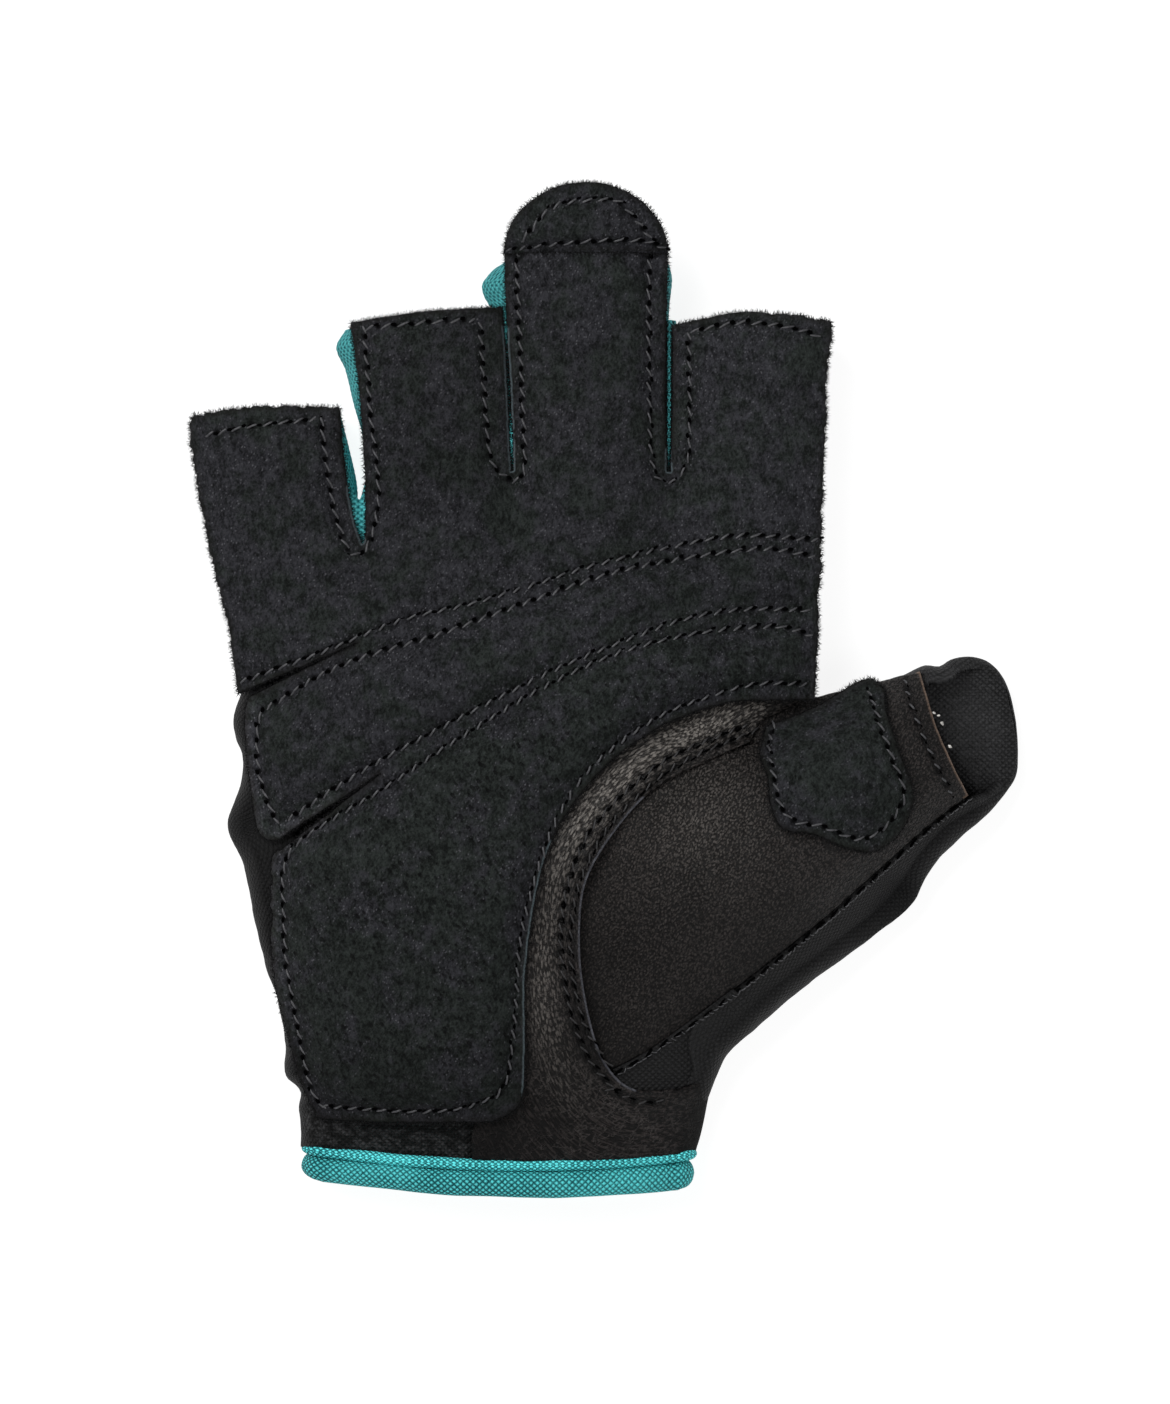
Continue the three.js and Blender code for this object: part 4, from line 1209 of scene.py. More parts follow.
def suedeWearAndLightAt(x, y):
    atEdge = smooth(near["suede"].distance(x, y), 2.2, 0.9) * smooth(-x, 40, 44)
    tone = suedeWearAndLight["side"] * atEdge * smooth(-y, 0, 3) * smooth(y, -56, -44)
    tone += suedeWearAndLight["index"] * smooth(x, 4, 18) * smooth(y, 14, 28)
    tone += suedeWearAndLight["band"] * spot(x, y, (-7, 9), (15, 6))
    tone -= suedeWearAndLight["ring"] * spot(x, y, (-28, 40), (10, 15))
    return tone - suedeWearAndLight["heel"] * smooth(-y, 26, 40) - suedeWearAndLight["wrist"] * smooth(-y, 50, 60)


panels = {
    "palm_overlay": {
        "layer": "suede", "under": suedeUnder, "top": suedeTop, "spacing": 0.62, "finish": "suede",
        "node": "palm_suede", "slot": "suede", "shown": {"heel": heelMask, "tone": suedeWearAndLightAt},
    },
    "palm_facing": {
        "layer": "leather", "under": leatherUnder, "top": leatherTop, "spacing": 0.6, "finish": "palmLeather",
        "node": "palm_leather", "slot": "leather", "map": leatherMap,
        "shown": {"polishAndHighlight": leatherPolishAndHighlight, "shade": leatherShade, "creaseHighlight": leatherCreaseHighlight},
    },
    "thumb_front": {
        "layer": "thumb", "under": thumbUnder, "top": thumbTop, "spacing": 0.6, "finish": "thumbLeather",
        "node": "thumb_leather", "slot": "leather", "map": thumbMap,
        "shown": {"polishAndHighlight": thumbPolishAndHighlight, "shade": thumbShade, "creaseHighlight": even(ball["creaseHighlight"])},
    },
    "thumb_wear_patch": {
        "layer": "patch", "under": patchUnder, "top": patchTop, "spacing": 0.45, "finish": "suede",
        "node": "thumb_patch", "slot": "suede", "shown": {"heel": even(0.6)},
    },
    "finger_pull_tab": {
        "layer": "tab", "under": tabUnder, "top": tabTop, "spacing": 0.45, "finish": "suede",
        "node": "pull_tab", "slot": "suede", "shown": {"heel": even(0)},
    },
}
for name, panel in panels.items():
    layer = panel["layer"]
    part = panelPart(
        outlines[layer], panel["under"], panel["top"], panel["spacing"], seams[layer], raw=rawNear.get(layer),
    )
    addPanel(name, [part], panel["finish"], panel["node"], panel["slot"], panel["shown"], panel.get("map"))
print("panels made")


# Knit that rolls up from the flat back: rows in plan along each side of the hand and the thumb.
handSide = {
    "x": [-63.7, -63.7, -62.4, -60.6, -58.4, -56.8, -58.2, -57.9, -56.8, -57.1, -58.9, -58.7, -56.8, -55.6,
          -53.9, -51, -50.2, -50.4, -50, -47.8, -48, -47.7, -47.6],
    "y": [42, 37, 29, 20, 10, 1.5, -4.5, -7.5, -10.4, -15, -19.6, -23, -26.6, -32, -41, -50, -55.4, -58.6,
          -60.8, -63, -65.4, -68, -71.6],
    "side": [*[5] * 5, *[5.5] * 9, 5, 5, *[4.5] * 7],
    "tuck": [2.5, 2.5, 2.5, 2.5, 3, 4, 5, 5, 4.5, 5, 11, 12, 9, 6, 4, 3.5, 4, 4, 4, 4, 5, 5, 5],
    "drop": [0] * 23,
    "rise": [1] * 23,
}
indexSide = {
    "x": [31.9, 32.2, 32.5, 33.1, 33.7, 34.6],
    "y": [-1.2, 4, 10, 23.5, 43, 56.6],
    "side": [5] * 6,
    "tuck": [2.5] * 6,
    "drop": [1.6, 1.6, 0, 0, 0, 0],
    "rise": [1] * 6,
}
thumbSide = {
    "x": [33.4, 37, 42.4, 47, 50.3, 52.6, 54.4, 57, 59.9, 62.4, 64.3, 65.2, 64.7, 62.2, 59.6, 55.2, 51.5,
          48.5, 43.5, 36.4, 28.8, 22.4, 19.2, 17.6, 16.3, 15, 13.8],
    "y": [-2.4, -1, 0.5, 2.6, 4, 3.8, 4.8, 5.3, 4.7, 2.6, -2, -9, -13.6, -17.2, -19.9, -23.7, -27.7, -33.1,
          -37.7, -42.9, -48.5, -54.2, -57.4, -60.6, -64, -68, -72.2],
    "side": [*[5] * 6, 4.9, 4.4, 3.4, 2.2, 1.6, 1.6, 3, 4.4, *[5] * 8, 4.8, 4.6, 4.4, 4.2, 4],
    "tuck": [*[2.5] * 5, 2.3, 2.1, 1.9, 1.5, 0.9, 0.6, 0.6, 1.4, 1.8, 3.4, 5.2, 6.4, 8.4, 8.6, 8.2, 8, 8.2, 7,
             4, 4, 4, 4],
    "drop": [*[3.2] * 4, 2.6, 2.3, 2, *[1.8] * 7, *[1.5] * 7, 1.2, 0.9, 0.7, 1.3, 1.6, 1.6],
    "rise": [1, 1, 1, 1, 0.92, 0.8, 0.68, 0.57, 0.47, 0.37, 0.28, 0.28, 0.5, 0.86, *[1] * 13],
}
roll = {
    "foot": 3,
    "flat": 2,
    "reach": 3,
    "reachShare": 0.6,
    "under": 1.35,  # how much lower it runs below the leather
    "underEdge": (-0.9, 0.5),
    "arcSteps": 9,
    "runSteps": 12,
    "step": 0.7,
}


def denseRows(table, step):
    # the same rows read closely along their path
    run = runAlong(np.column_stack([table["x"], table["y"]]).astype(float))
    read = tableReader({"run": run, **table}, "run")
    at = np.linspace(0, run[-1], max(2, int(run[-1] / step)))
    return {"run": at, **{name: read(name, at) for name in table}}


def sweepPart(rows, outward, thick, profileAt, reliefAt):
    # two faces of a sheet along rows in plan, closed round its rim
    count = len(rows["x"])
    places = np.column_stack([rows["x"], rows["y"]])
    out = rightOf(np.gradient(places, axis=0)) * outward
    outer, inner, maps = [], [], []
    for i in range(count):
        row = {name: values[i] for name, values in rows.items()}

        def point(offset):
            return places[i] + out[i] * offset

        profile = np.array(profileAt(row, point))
        normal = rightOf(np.gradient(profile, axis=0))
        girth = runAlong(profile)
        raised = reliefAt(row, girth)[:, None]
        faces = (profile + normal * raised, profile - normal * (thick - 0.4 * raised))
        for face, store in zip(faces, (outer, inner)):
            spots = places[i] + out[i] * face[:, :1]
            store.append(np.column_stack([spots, face[:, 1]]))
        maps.append(np.column_stack([np.full(len(girth), row["run"]), girth]))
    columns = len(outer[0])
    verts = np.vstack(outer + inner)
    clothMap = np.vstack(maps + maps)

    def at(face, i, j):
        return (face * count + i) * columns + j

    quads = []
    for i in range(count - 1):
        for j in range(columns - 1):
            quads.append((at(0, i, j), at(0, i + 1, j), at(0, i + 1, j + 1), at(0, i, j + 1)))
            quads.append((at(1, i, j), at(1, i, j + 1), at(1, i + 1, j + 1), at(1, i + 1, j)))
        quads.append((at(0, i, 0), at(1, i, 0), at(1, i + 1, 0), at(0, i + 1, 0)))
        j = columns - 1
        quads.append((at(0, i, j), at(0, i + 1, j), at(1, i + 1, j), at(1, i, j)))
    i = count - 1
    for j in range(columns - 1):
        quads.append((at(0, 0, j), at(0, 0, j + 1), at(1, 0, j + 1), at(1, 0, j)))
        quads.append((at(0, i, j), at(1, i, j), at(1, i, j + 1), at(0, i, j + 1)))
    if outward < 0:
        quads = [tuple(reversed(quad)) for quad in quads]
    return verts, quads, {}, clothMap


def rollProfileFor(underLeather):
    # up from the flat back, round the side, and in under the leather or the suede
    def rollProfile(row, point):
        side, tuck = row["side"], max(row["tuck"], 0.5)
        points = [(-roll["foot"] - roll["flat"], 0.0)]
        for i in range(roll["arcSteps"] + 1):
            turn = (i / roll["arcSteps"] - 1) * math.pi / 2
            points.append((-roll["foot"] + roll["foot"] * math.cos(turn), side + side * math.sin(turn)))
        reach = min(roll["reach"], roll["reachShare"] * tuck)

        def heightAt(offset):
            x, y = point(offset)
            height = float(form(x, y)) - row["drop"]
            if underLeather:
                inside = insideLoop(np.array([x]), np.array([y]), outlines["thumb"])[0]
                depth = near["thumb"].distance([x], [y])[0] * (1 if inside else -1)
                height -= roll["under"] * float(smooth(depth, *roll["underEdge"]))
            return height * row["rise"]

        top = heightAt(-reach)
        for i in range(1, roll["arcSteps"] + 1):
            turn = i / roll["arcSteps"] * math.pi / 2
            points.append((-reach + reach * math.cos(turn), side + (top - side) * math.sin(turn)))
        for i in range(1, roll["runSteps"] + 1):
            offset = -reach - (tuck - reach) * i / roll["runSteps"]
            points.append((offset, heightAt(offset)))
        return points

    return rollProfile


def clothRelief(seed, big, small):
    def reliefAt(row, girth):
        run = np.full(len(girth), row["run"])
        rise = smooth(girth, 4, 8) * smooth(girth[-1] - girth, 0, 2)
        return (big * fbm(run, girth, 7, seed, 2) + small * fbm(run, girth, 2.2, seed + 4, 2)) * rise

    return reliefAt


def rollPart(rows, outward, seed, big, small, underLeather=False):
    profileAt, reliefAt = rollProfileFor(underLeather), clothRelief(seed, big, small)
    return sweepPart(denseRows(rows, roll["step"]), outward, layers["knit"]["thick"], profileAt, reliefAt)


def plainPart(loop, underAt, topAt, spacing, coarse=2.5):
    # a panel without stitch rows or marks
    verts, faces, _, clothMap = panelPart(loop, underAt, topAt, spacing, rounding=0.2, coarse=coarse)
    return verts, faces, {}, clothMap


flat = {"low": 0.02, "high": 0.98, "spacing": 1.6}


def flatPart(loop):
    return plainPart(loop, even(flat["low"]), even(flat["high"]), flat["spacing"])


def knitPanelPart(loop, sinkAt):
    def topAt(x, y):
        return form(x, y) - sinkAt(x, y) + waves("knit", x, y)

    return plainPart(loop, lambda x, y: topAt(x, y) - layers["knit"]["thick"], topAt, 0.8)


# How far the knit lies below the form: at the wrist, deeper under the palm leather, and beside the thumb.
sink = {"wrist": 0.12, "underLeather": 1.5, "thumb": 1.6, "thumbRise": 0.35}


def wristSink(x, y):
    return sink["wrist"] + sink["underLeather"] * smooth(x, -43, -36)


def thumbSink(x, y):
    return sink["thumb"] - sink["thumbRise"] * smooth(x, 4, 11)


# The knit back of the thumb is longer than its front, and shows its inside as a shallow scoop, brightened by
# painted light.
tip = {
    "low": 2.5,
    "rise": 2.2,
    "from": -8.0,
    "to": 1.0,
    "fall": 0.9,
    "rimRise": 1.5,
    "rimWide": 3.4,
    "fold": 0.5,
    "foldWide": 1.1,
    "rough": 0.3,
    "thick": 0.8,
    "lift": 1.5,
    "rimShade": 0.45,
    "crumpleShading": 0.3,
}
tipLoop = outlineLoop(
    (44, -2.8),
    [(50, 0.6), (56.7, 4.4), (59.6, 4.1), (62.4, 1.6), (64, -3.8), (64.8, -9), (64.2, -13.4), (61.8, -16.8),
     (56.6, -20.2)],
    [(50, -12)],
)
tipRim = nearLines([
    (52.6, 3.8), (57, 5.3), (59.9, 4.7), (62.4, 2.6), (64.3, -2), (65.2, -9), (64.7, -13.6), (62.2, -17.2),
    (59.6, -19.9),
])


def alongThumb(x, y):
    return turned(x - shape["thumbX"], y - shape["thumbY"], shape["thumbAngle"])[0]


def tipTop(x, y):
    s = alongThumb(x, y)
    rim = tip["rimRise"] * hump(tipRim.distance(x, y), tip["rimWide"]) * (0.3 + 0.7 * smooth(y, -8, 2))
    fold = tip["fold"] * hump(x - 58.6 + 0.5 * (y + 12), tip["foldWide"]) * smooth(-y, 7, 12)
    body = tip["low"] + tip["rise"] * smooth(s, tip["from"], tip["to"]) - tip["fall"] * smooth(s, 5, 11)
    return body + rim - fold + tip["rough"] * fbm(x, y, 5, 3.6, 3)


def tipMask(x, y):
    return smooth(alongThumb(x, y), -2.5, 0.5)


# painted light on the scoop against the shade under the hem, and less of it by the rim
def tipPaintedLight(x, y):
    return tip["lift"] * tipMask(x, y) * (1 - tip["rimShade"] * hump(tipRim.distance(x, y), 1.8))


# painted crumple shading over the scoop
def tipCrumpleShading(x, y):
    return tip["crumpleShading"] * tipMask(x, y)


# The side is turned away from the lamp, and the wrist lies in the shadow of the heel pad.
backShade = {"wrist": 0.6, "side": 0.45}


def backLift(x, y):
    side = smooth(-x, 43, 48) * smooth(-y, 2, 8) * smooth(y, -62, -56)
    return -backShade["wrist"] * smooth(-y, 60, 66) - backShade["side"] * side


# painted crumple shading in the wrist knit
def wristCrumpleShading(x, y):
    return smooth(-y, 60, 65) * smooth(x, -49, -46)


backParts = [
    flatPart(outlines["back"]),
    rollPart(handSide, 1, seed=2.5, big=0.3, small=0.1),
    rollPart(indexSide, 1, seed=7.5, big=0.12, small=0.06),
    knitPanelPart(outlines["wristKnit"], wristSink),
]
backShown = {"lift": backLift, "crumpleShading": wristCrumpleShading}
addPanel("hand_back_knit", backParts, "blackKnit", "hand_back", "black_knit", backShown)
thumbParts = [
    flatPart(outlines["thumbBack"]),
    rollPart(thumbSide, -1, seed=4.5, big=0.2, small=0.08, underLeather=True),
    knitPanelPart(outlines["thumbKnit"], thumbSink),
    plainPart(tipLoop, lambda x, y: tipTop(x, y) - tip["thick"], tipTop, 0.6),
]
thumbShown = {"lift": tipPaintedLight, "crumpleShading": tipCrumpleShading}
addPanel("thumb_back_knit", thumbParts, "blackKnit", "thumb_back", "black_knit", thumbShown)
print("knit back made")

# Gussets between the fingers: a ribbon stands on the back and bulges into each slit.
gusset = {"foot": 0.12, "under": 0.2, "steps": 26, "thick": 0.9, "step": 0.35, "rib": 0.95, "ribDepth": 0.07}
gussetTables = {
    "fourchette_little_ring": {
        "x": [-42.1, -41.7, -40.9, -39.8, -38.7, -37.6, -36.7, -36.4, -36.6, -36.9, -37.3, -37.9, -38.4,
              -38.7],
        "y": [43.4, 38.3, 31.5, 25.6, 22.4, 21.7, 22.6, 26, 33, 39.5, 45, 50.8, 54.4, 56.8],
        "bulge": [0.6, 1.5, 2.1, 0.9, 0.3, 0.3, 0.3, 0.6, 0.6, 0.9, 2, 2.8, 3.7, 2],
    },
    "fourchette_ring_middle": {
        "x": [-16.8, -16.3, -15.9, -15.5, -15.1, -14.4, -13.7, -13.3, -13.7, -14.2, -14.5, -14.6, -14.7,
              -14.8, -14.8],
        "y": [59.3, 53, 44, 35.6, 33.2, 32.6, 33.3, 36, 44, 53, 58.6, 60.6, 63.8, 65.8, 67.2],
        "bulge": [0.5, 0.6, 0.6, 0.4, 0.2, 0.2, 0.2, 0.4, 0.6, 0.6, 0.8, 3.4, 4.5, 3, 0.9],
    },
    "fourchette_middle_index": {
        "x": [9.2, 9.1, 9, 8.9, 8.9, 9.1, 9.5, 10.1, 10.8, 11.2, 11.3, 11.3, 11.4],
        "y": [66.8, 64.6, 60.6, 52, 42, 35.4, 33.4, 32.9, 33.4, 35.4, 42, 52, 56.4],
        "bulge": [1, 1.5, 1.2, 0.9, 0.9, 0.5, 0.2, 0.2, 0.2, 0.5, 0.9, 0.9, 0.6],
    },
}


def gussetProfile(row, point):
    foot = gusset["foot"]
    top = float(form(*point(0))) - gusset["under"]
    shares = [i / gusset["steps"] for i in range(gusset["steps"] + 1)]
    return [(row["bulge"] * math.sin(share * math.pi), foot + (top - foot) * share) for share in shares]


def gussetRelief(row, girth):
    return np.full(len(girth), gusset["ribDepth"] * abs(math.sin(row["run"] / gusset["rib"] * math.pi)))


# In the two closed slits a fold of the knit rises between the suede edges, higher or lower along the way.
lipTables = {
    "fourchette_ring_middle": {
        "x": [-14.38, -14.45, -14.6, -14.85, -15.1, -15.3, -15.45],
        "y": [34.2, 37.5, 41, 45, 50, 55, 59.2],
        "top": [0.2, 1.1, 1.0, 0.1, -0.2, 1.0, 1.2],
        "half": [0.2, 0.26, 0.28, 0.26, 0.24, 0.24, 0.26],
    },
    "fourchette_middle_index": {
        "x": [10.06, 10.06, 10.1, 10.12, 10.1, 10.2],
        "y": [34, 38, 43, 48, 53, 57.9],
        "top": [0.2, 1.3, 1.25, 1.2, 1.2, 1.1],
        "half": [0.26, 0.3, 0.32, 0.34, 0.34, 0.4],
    },
}
web = outlineLoop(
    (-40.6, 33),
    [(-39.7, 28.5), (-38.8, 24.6), (-38.1, 22.6), (-37.3, 22.4), (-36.9, 24.6), (-36.8, 28), (-36.7, 33.8)],
    [(-37.5, 32.6), (-38.3, 29.9), (-39.1, 31.2), (-40.6, 33)],
)
lip = {"deep": 1.7, "skirt": 1.0, "shoulder": 0.9, "rough": 0.05, "roundSteps": 7, "girth": 2.4}
webShape = {"high": 0.5, "fall": 3.2, "valley": 0.5, "valleyWide": 0.5, "thick": 0.7}


def lipPart(table):
    # a standing fold: a round-topped section swept along a line in plan, spread out at its foot
    rows = denseRows(table, gusset["step"])
    places = np.column_stack([rows["x"], rows["y"]])
    side = rightOf(np.gradient(places, axis=0))
    height = form(*places.T) + rows["top"] + lip["rough"] * fbm(rows["run"], 0 * rows["run"], 0.8, 6.6, 2)
    turns = np.linspace(0, math.pi, lip["roundSteps"])
    columns = [(0 * height - lip["skirt"], height - lip["deep"]), (-rows["half"], height - lip["shoulder"])]
    columns += [(-math.cos(t) * rows["half"], height + (math.sin(t) - 1) * rows["half"]) for t in turns]
    columns += [(rows["half"], height - lip["shoulder"]), (0 * height + lip["skirt"], height - lip["deep"])]
    sides, count = len(columns), len(places)
    grid = np.array([np.column_stack([places + side * out[:, None], z]) for out, z in columns])
    verts = grid.transpose(1, 0, 2).reshape(-1, 3)
    faces = []
    for i in range(count - 1):
        for k in range(sides):
            a, b = i * sides + k, i * sides + (k + 1) % sides
            faces.append((b, b + sides, a + sides, a))
    faces.append(tuple(reversed(range(sides))))
    faces.append(tuple(range(len(verts) - sides, len(verts))))
    girth = np.tile(np.linspace(0, lip["girth"], sides), count)
    clothMap = np.column_stack([np.repeat(rows["run"], sides), girth])
    return verts, faces, {}, clothMap


def webTop(x, y):
    valley = webShape["valley"] * hump(x + 38, webShape["valleyWide"])
    fall = webShape["fall"] * smooth(y, 28.5, 33.5)
    return form(x, y) + webShape["high"] - fall - valley + waves("web", x, y)


# Painted light lifts the tone of the knit deep in the slits against the shade there, half as much beside the
# little finger.
gussetPaintedLight = {"lift": 1.1, "littleShare": 0.5}


def gussetPaintedLightAt(x, y):
    little = smooth(-x, 34, 36)
    deep = np.minimum(smooth(y, 62, 56), 1 - smooth(y, 38, 44) * little)
    return gussetPaintedLight["lift"] * deep * smooth(-x, 0, 8) * (1 - (1 - gussetPaintedLight["littleShare"]) * little)


for node, table in gussetTables.items():
    parts = [sweepPart(denseRows(table, gusset["step"]), -1, gusset["thick"], gussetProfile, gussetRelief)]
    if node in lipTables:
        parts.append(lipPart(lipTables[node]))
    else:
        parts.append(plainPart(web, lambda x, y: webTop(x, y) - webShape["thick"], webTop, 0.4, coarse=1.2))
    addPanel(node + "_knit", parts, "tealKnit", node, "teal_knit", {"lift": gussetPaintedLightAt})
print("gussets made")

# The wrist binding: two round rolls along the wrist's section.
wrist = {"y": -72, "side": 4.5, "reach": 3, "step": 0.35, "sideSteps": 24, "topSteps": 60, "floorSteps": 40}
wrist["left"] = float(hand("left", np.array(wrist["y"])))
wrist["right"] = float(hand("right", np.array(wrist["y"])))
cuff = {
    "pipingY": -73.9,
    "bow": 1.65,
    "tilt": 0.45,
    "pipingHalf": 0.92,
    "pipingDeep": 1.2,
    "pipingPaintedLight": 0.56,
    "bandHalf": 2.12,
    "bandLean": 0.17,
    "bandDeep": 1.8,
    "bandInset": 0.4,
    "overlap": 0.12,
    "leftEnd": 0.6,
    "waver": 0.12,
    "rough": 0.08,
    "sides": 26,
}


def wristSide(edge, outward, upward):
    inner = edge - outward * wrist["reach"]
    top = float(form(inner, wrist["y"]))
    turns = (np.arange(wrist["sideSteps"] + 1) / wrist["sideSteps"] - 0.5) * math.pi * upward
    height = np.where(turns < 0, wrist["side"], top - wrist["side"])
    x = inner + outward * wrist["reach"] * np.cos(turns)
    return np.column_stack([x, wrist["side"] + height * np.sin(turns)])


def wristSection():
    start, end = wrist["left"] + wrist["reach"], wrist["right"] - wrist["reach"]
    topX = np.linspace(end, start, wrist["topSteps"])[1:-1]
    floorX = np.linspace(start, end, wrist["floorSteps"])[1:-1]
    loop = np.vstack([
        wristSide(wrist["right"], 1, 1),
        np.column_stack([topX, form(topX, 0 * topX + wrist["y"])]),
        wristSide(wrist["left"], -1, -1),
        np.column_stack([floorX, 0 * floorX]),
    ])
    loop = np.vstack([loop, loop[:1]])
    length = runAlong(loop)[-1]
    count = int(length / wrist["step"])
    at = np.arange(count) * length / count
    return readAlong(loop, at), at


def pipingCentre(u):
    return cuff["pipingY"] + cuff["bow"] * u * u - cuff["tilt"] * u


def pipingHalf(u):
    return cuff["pipingHalf"] + 0 * u


def bandHalf(u):
    return cuff["bandHalf"] + cuff["bandLean"] * u


def bandCentre(u):
    return pipingCentre(u) - cuff["pipingHalf"] + cuff["overlap"] - bandHalf(u)


def ringPart(centreAt, halfAt, deep, seed, inset=0.0):
    # a closed roll round the wrist, where u runs from -1 at the left side to 1 at the right
    section, run = wristSection()
    count, sides = len(section), cuff["sides"]
    out = outwardOf(section)
    u = across(section[:, 0], wrist["left"], wrist["right"])
    waver = cuff["waver"] * fbm(run, 0 * run, 9, seed, 2)
    verts, maps = [], []
    for k in range(sides + 1):
        turn = k / sides * 2 * math.pi
        offset = -deep + deep * math.cos(turn) + cuff["rough"] * fbm(run, 0 * run + k * 0.9, 3, seed + 2, 2)
        offset += cuff["leftEnd"] * smooth(-u, 0.8, 1) - inset * smooth(u, 0.75, 1)
        y = centreAt(u) + halfAt(u) * math.sin(turn) + waver
        spots = section + out * offset[:, None]
        verts.append(np.column_stack([spots[:, 0], y, np.maximum(spots[:, 1], 0.01)]))
        maps.append(np.column_stack([run, np.full(count, turn * (deep + float(halfAt(0))) / 2)]))
    verts[-1] = verts[0].copy()
    quads = []
    for k in range(sides):
        for i in range(count - 1):
            a, b = k * count + i, (k + 1) * count + i
            quads.append((b, b + 1, a + 1, a))
        quads.append(((k + 1) * count + count - 1, (k + 1) * count, k * count, k * count + count - 1))
    return np.vstack(verts), quads, {}, np.vstack(maps)


pipingPart = ringPart(pipingCentre, pipingHalf, cuff["pipingDeep"], 3.3)
bandPart = ringPart(bandCentre, bandHalf, cuff["bandDeep"], 6.1, cuff["bandInset"])
# painted light on the piping, which is narrow and curved and so falls into shade
pipingShown = {"lift": even(cuff["pipingPaintedLight"])}
addPanel("wrist_piping", [pipingPart], "tealBinding", "cuff_piping", "teal_knit", pipingShown)
addPanel("wrist_band", [bandPart], "tealBinding", "cuff_band", "teal_knit")
print("wrist binding made")


# Stitches: a tree that follows paths and sets one thread, needle hole or torn fibre at every pitch.
def pathTree(kind):
    tree = bpy.data.node_groups.new(f"{kind} along a path", "GeometryNodeTree")
    face = tree.interface
    face.new_socket("Geometry", in_out="INPUT", socket_type="NodeSocketGeometry")
    for name in ("Pitch", "Length", "Width", "Height", "Slant", "Shift", "Wobble"):
        face.new_socket(name, in_out="INPUT", socket_type="NodeSocketFloat")
    face.new_socket("Seed", in_out="INPUT", socket_type="NodeSocketInt")
    face.new_socket("Material", in_out="INPUT", socket_type="NodeSocketMaterial")
    face.new_socket("Geometry", in_out="OUTPUT", socket_type="NodeSocketGeometry")
    given = tree.nodes.new("NodeGroupInput").outputs
    result = tree.nodes.new("NodeGroupOutput")

    def add(kind, settings=None, inputs=None, output=0):
        return addNode(tree, kind, settings, inputs).outputs[output]

    def maths(operation, first, second):
        return add("ShaderNodeMath", {"operation": operation}, {0: first, 1: second})

    def xyz(**parts):
        return add("ShaderNodeCombineXYZ", {}, parts)

    def spun(rotation, angles):
        euler = add("FunctionNodeEulerToRotation", {}, {0: angles})
        return add("FunctionNodeRotateRotation", {"rotation_space": "LOCAL"}, {0: rotation, 1: euler})

    curve = add("GeometryNodeMeshToCurve", {}, {"Mesh": given["Geometry"]})
    spaced = add("GeometryNodeResampleCurve", {"mode": "LENGTH"}, {"Curve": curve, "Length": given["Pitch"]})
    up = add("GeometryNodeInputNamedAttribute", {"data_type": "FLOAT_VECTOR"}, {"Name": "up"})
    upright = add("FunctionNodeAlignRotationToVector", {"axis": "Z"}, {"Vector": up})
    if kind == "fibre":
        body = add("GeometryNodeMeshCone", {}, {
            "Vertices": 3, "Side Segments": 1, "Radius Top": 0.0, "Radius Bottom": given["Width"],
            "Depth": given["Length"],
        })
        spread = add("FunctionNodeRandomValue", {"data_type": "FLOAT_VECTOR"}, {"Seed": given["Seed"]})
        centred = add("ShaderNodeVectorMath", {"operation": "SUBTRACT"}, {0: spread, 1: (0.5, 0.5, 0.5)})
        tilt = add("ShaderNodeVectorMath", {"operation": "SCALE"}, {0: centred, "Scale": given["Wobble"]})
        rotation = spun(upright, tilt)
    else:
        ahead = {"Rotation": upright, "Vector": add("GeometryNodeInputTangent")}
        aligned = add("FunctionNodeAlignRotationToVector", {"axis": "X", "pivot_axis": "Z"}, ahead)
        wobble = add("FunctionNodeRandomValue", {"data_type": "FLOAT"}, {"Seed": given["Seed"]}, 1)
        swing = maths("MULTIPLY", maths("SUBTRACT", wobble, 0.5), given["Wobble"])
        rotation = spun(aligned, xyz(Z=maths("ADD", given["Slant"], swing)))
    if kind == "thread":
        half, foot = maths("MULTIPLY", given["Length"], 0.5), maths("MULTIPLY", given["Height"], -1)
        arch = add("GeometryNodeCurveQuadraticBezier", {}, {
            "Resolution": 5, "Start": xyz(X=maths("MULTIPLY", half, -1), Z=foot),
            "Middle": xyz(Z=given["Height"]), "End": xyz(X=half, Z=foot),
        })
        circle = {"Resolution": 6, "Radius": given["Width"]}
        swept = {"Profile Curve": add("GeometryNodeCurvePrimitiveCircle", {"mode": "RADIUS"}, circle)}
        body = add("GeometryNodeCurveToMesh", {}, {"Curve": arch, **swept, "Fill Caps": True})
    if kind == "hole":
        drum = add("GeometryNodeMeshCylinder", {}, {"Vertices": 10, "Radius": 1.0, "Depth": 2.0})
        body = add("GeometryNodeTransform", {}, {
            "Geometry": drum, "Scale": xyz(X=given["Length"], Y=given["Width"], Z=given["Height"]),
            "Translation": xyz(X=given["Shift"]),
        })
    where = {"Points": spaced, "Instance": body, "Rotation": rotation}
    placed = add("GeometryNodeInstanceOnPoints", {}, where)
    real = add("GeometryNodeRealizeInstances", {}, {"Geometry": placed})
    coated = add("GeometryNodeSetMaterial", {}, {"Geometry": real, "Material": given["Material"]})
    tree.links.new(coated, result.inputs[0])
    return tree


trees = {kind: pathTree(kind) for kind in ("thread", "hole", "fibre")}


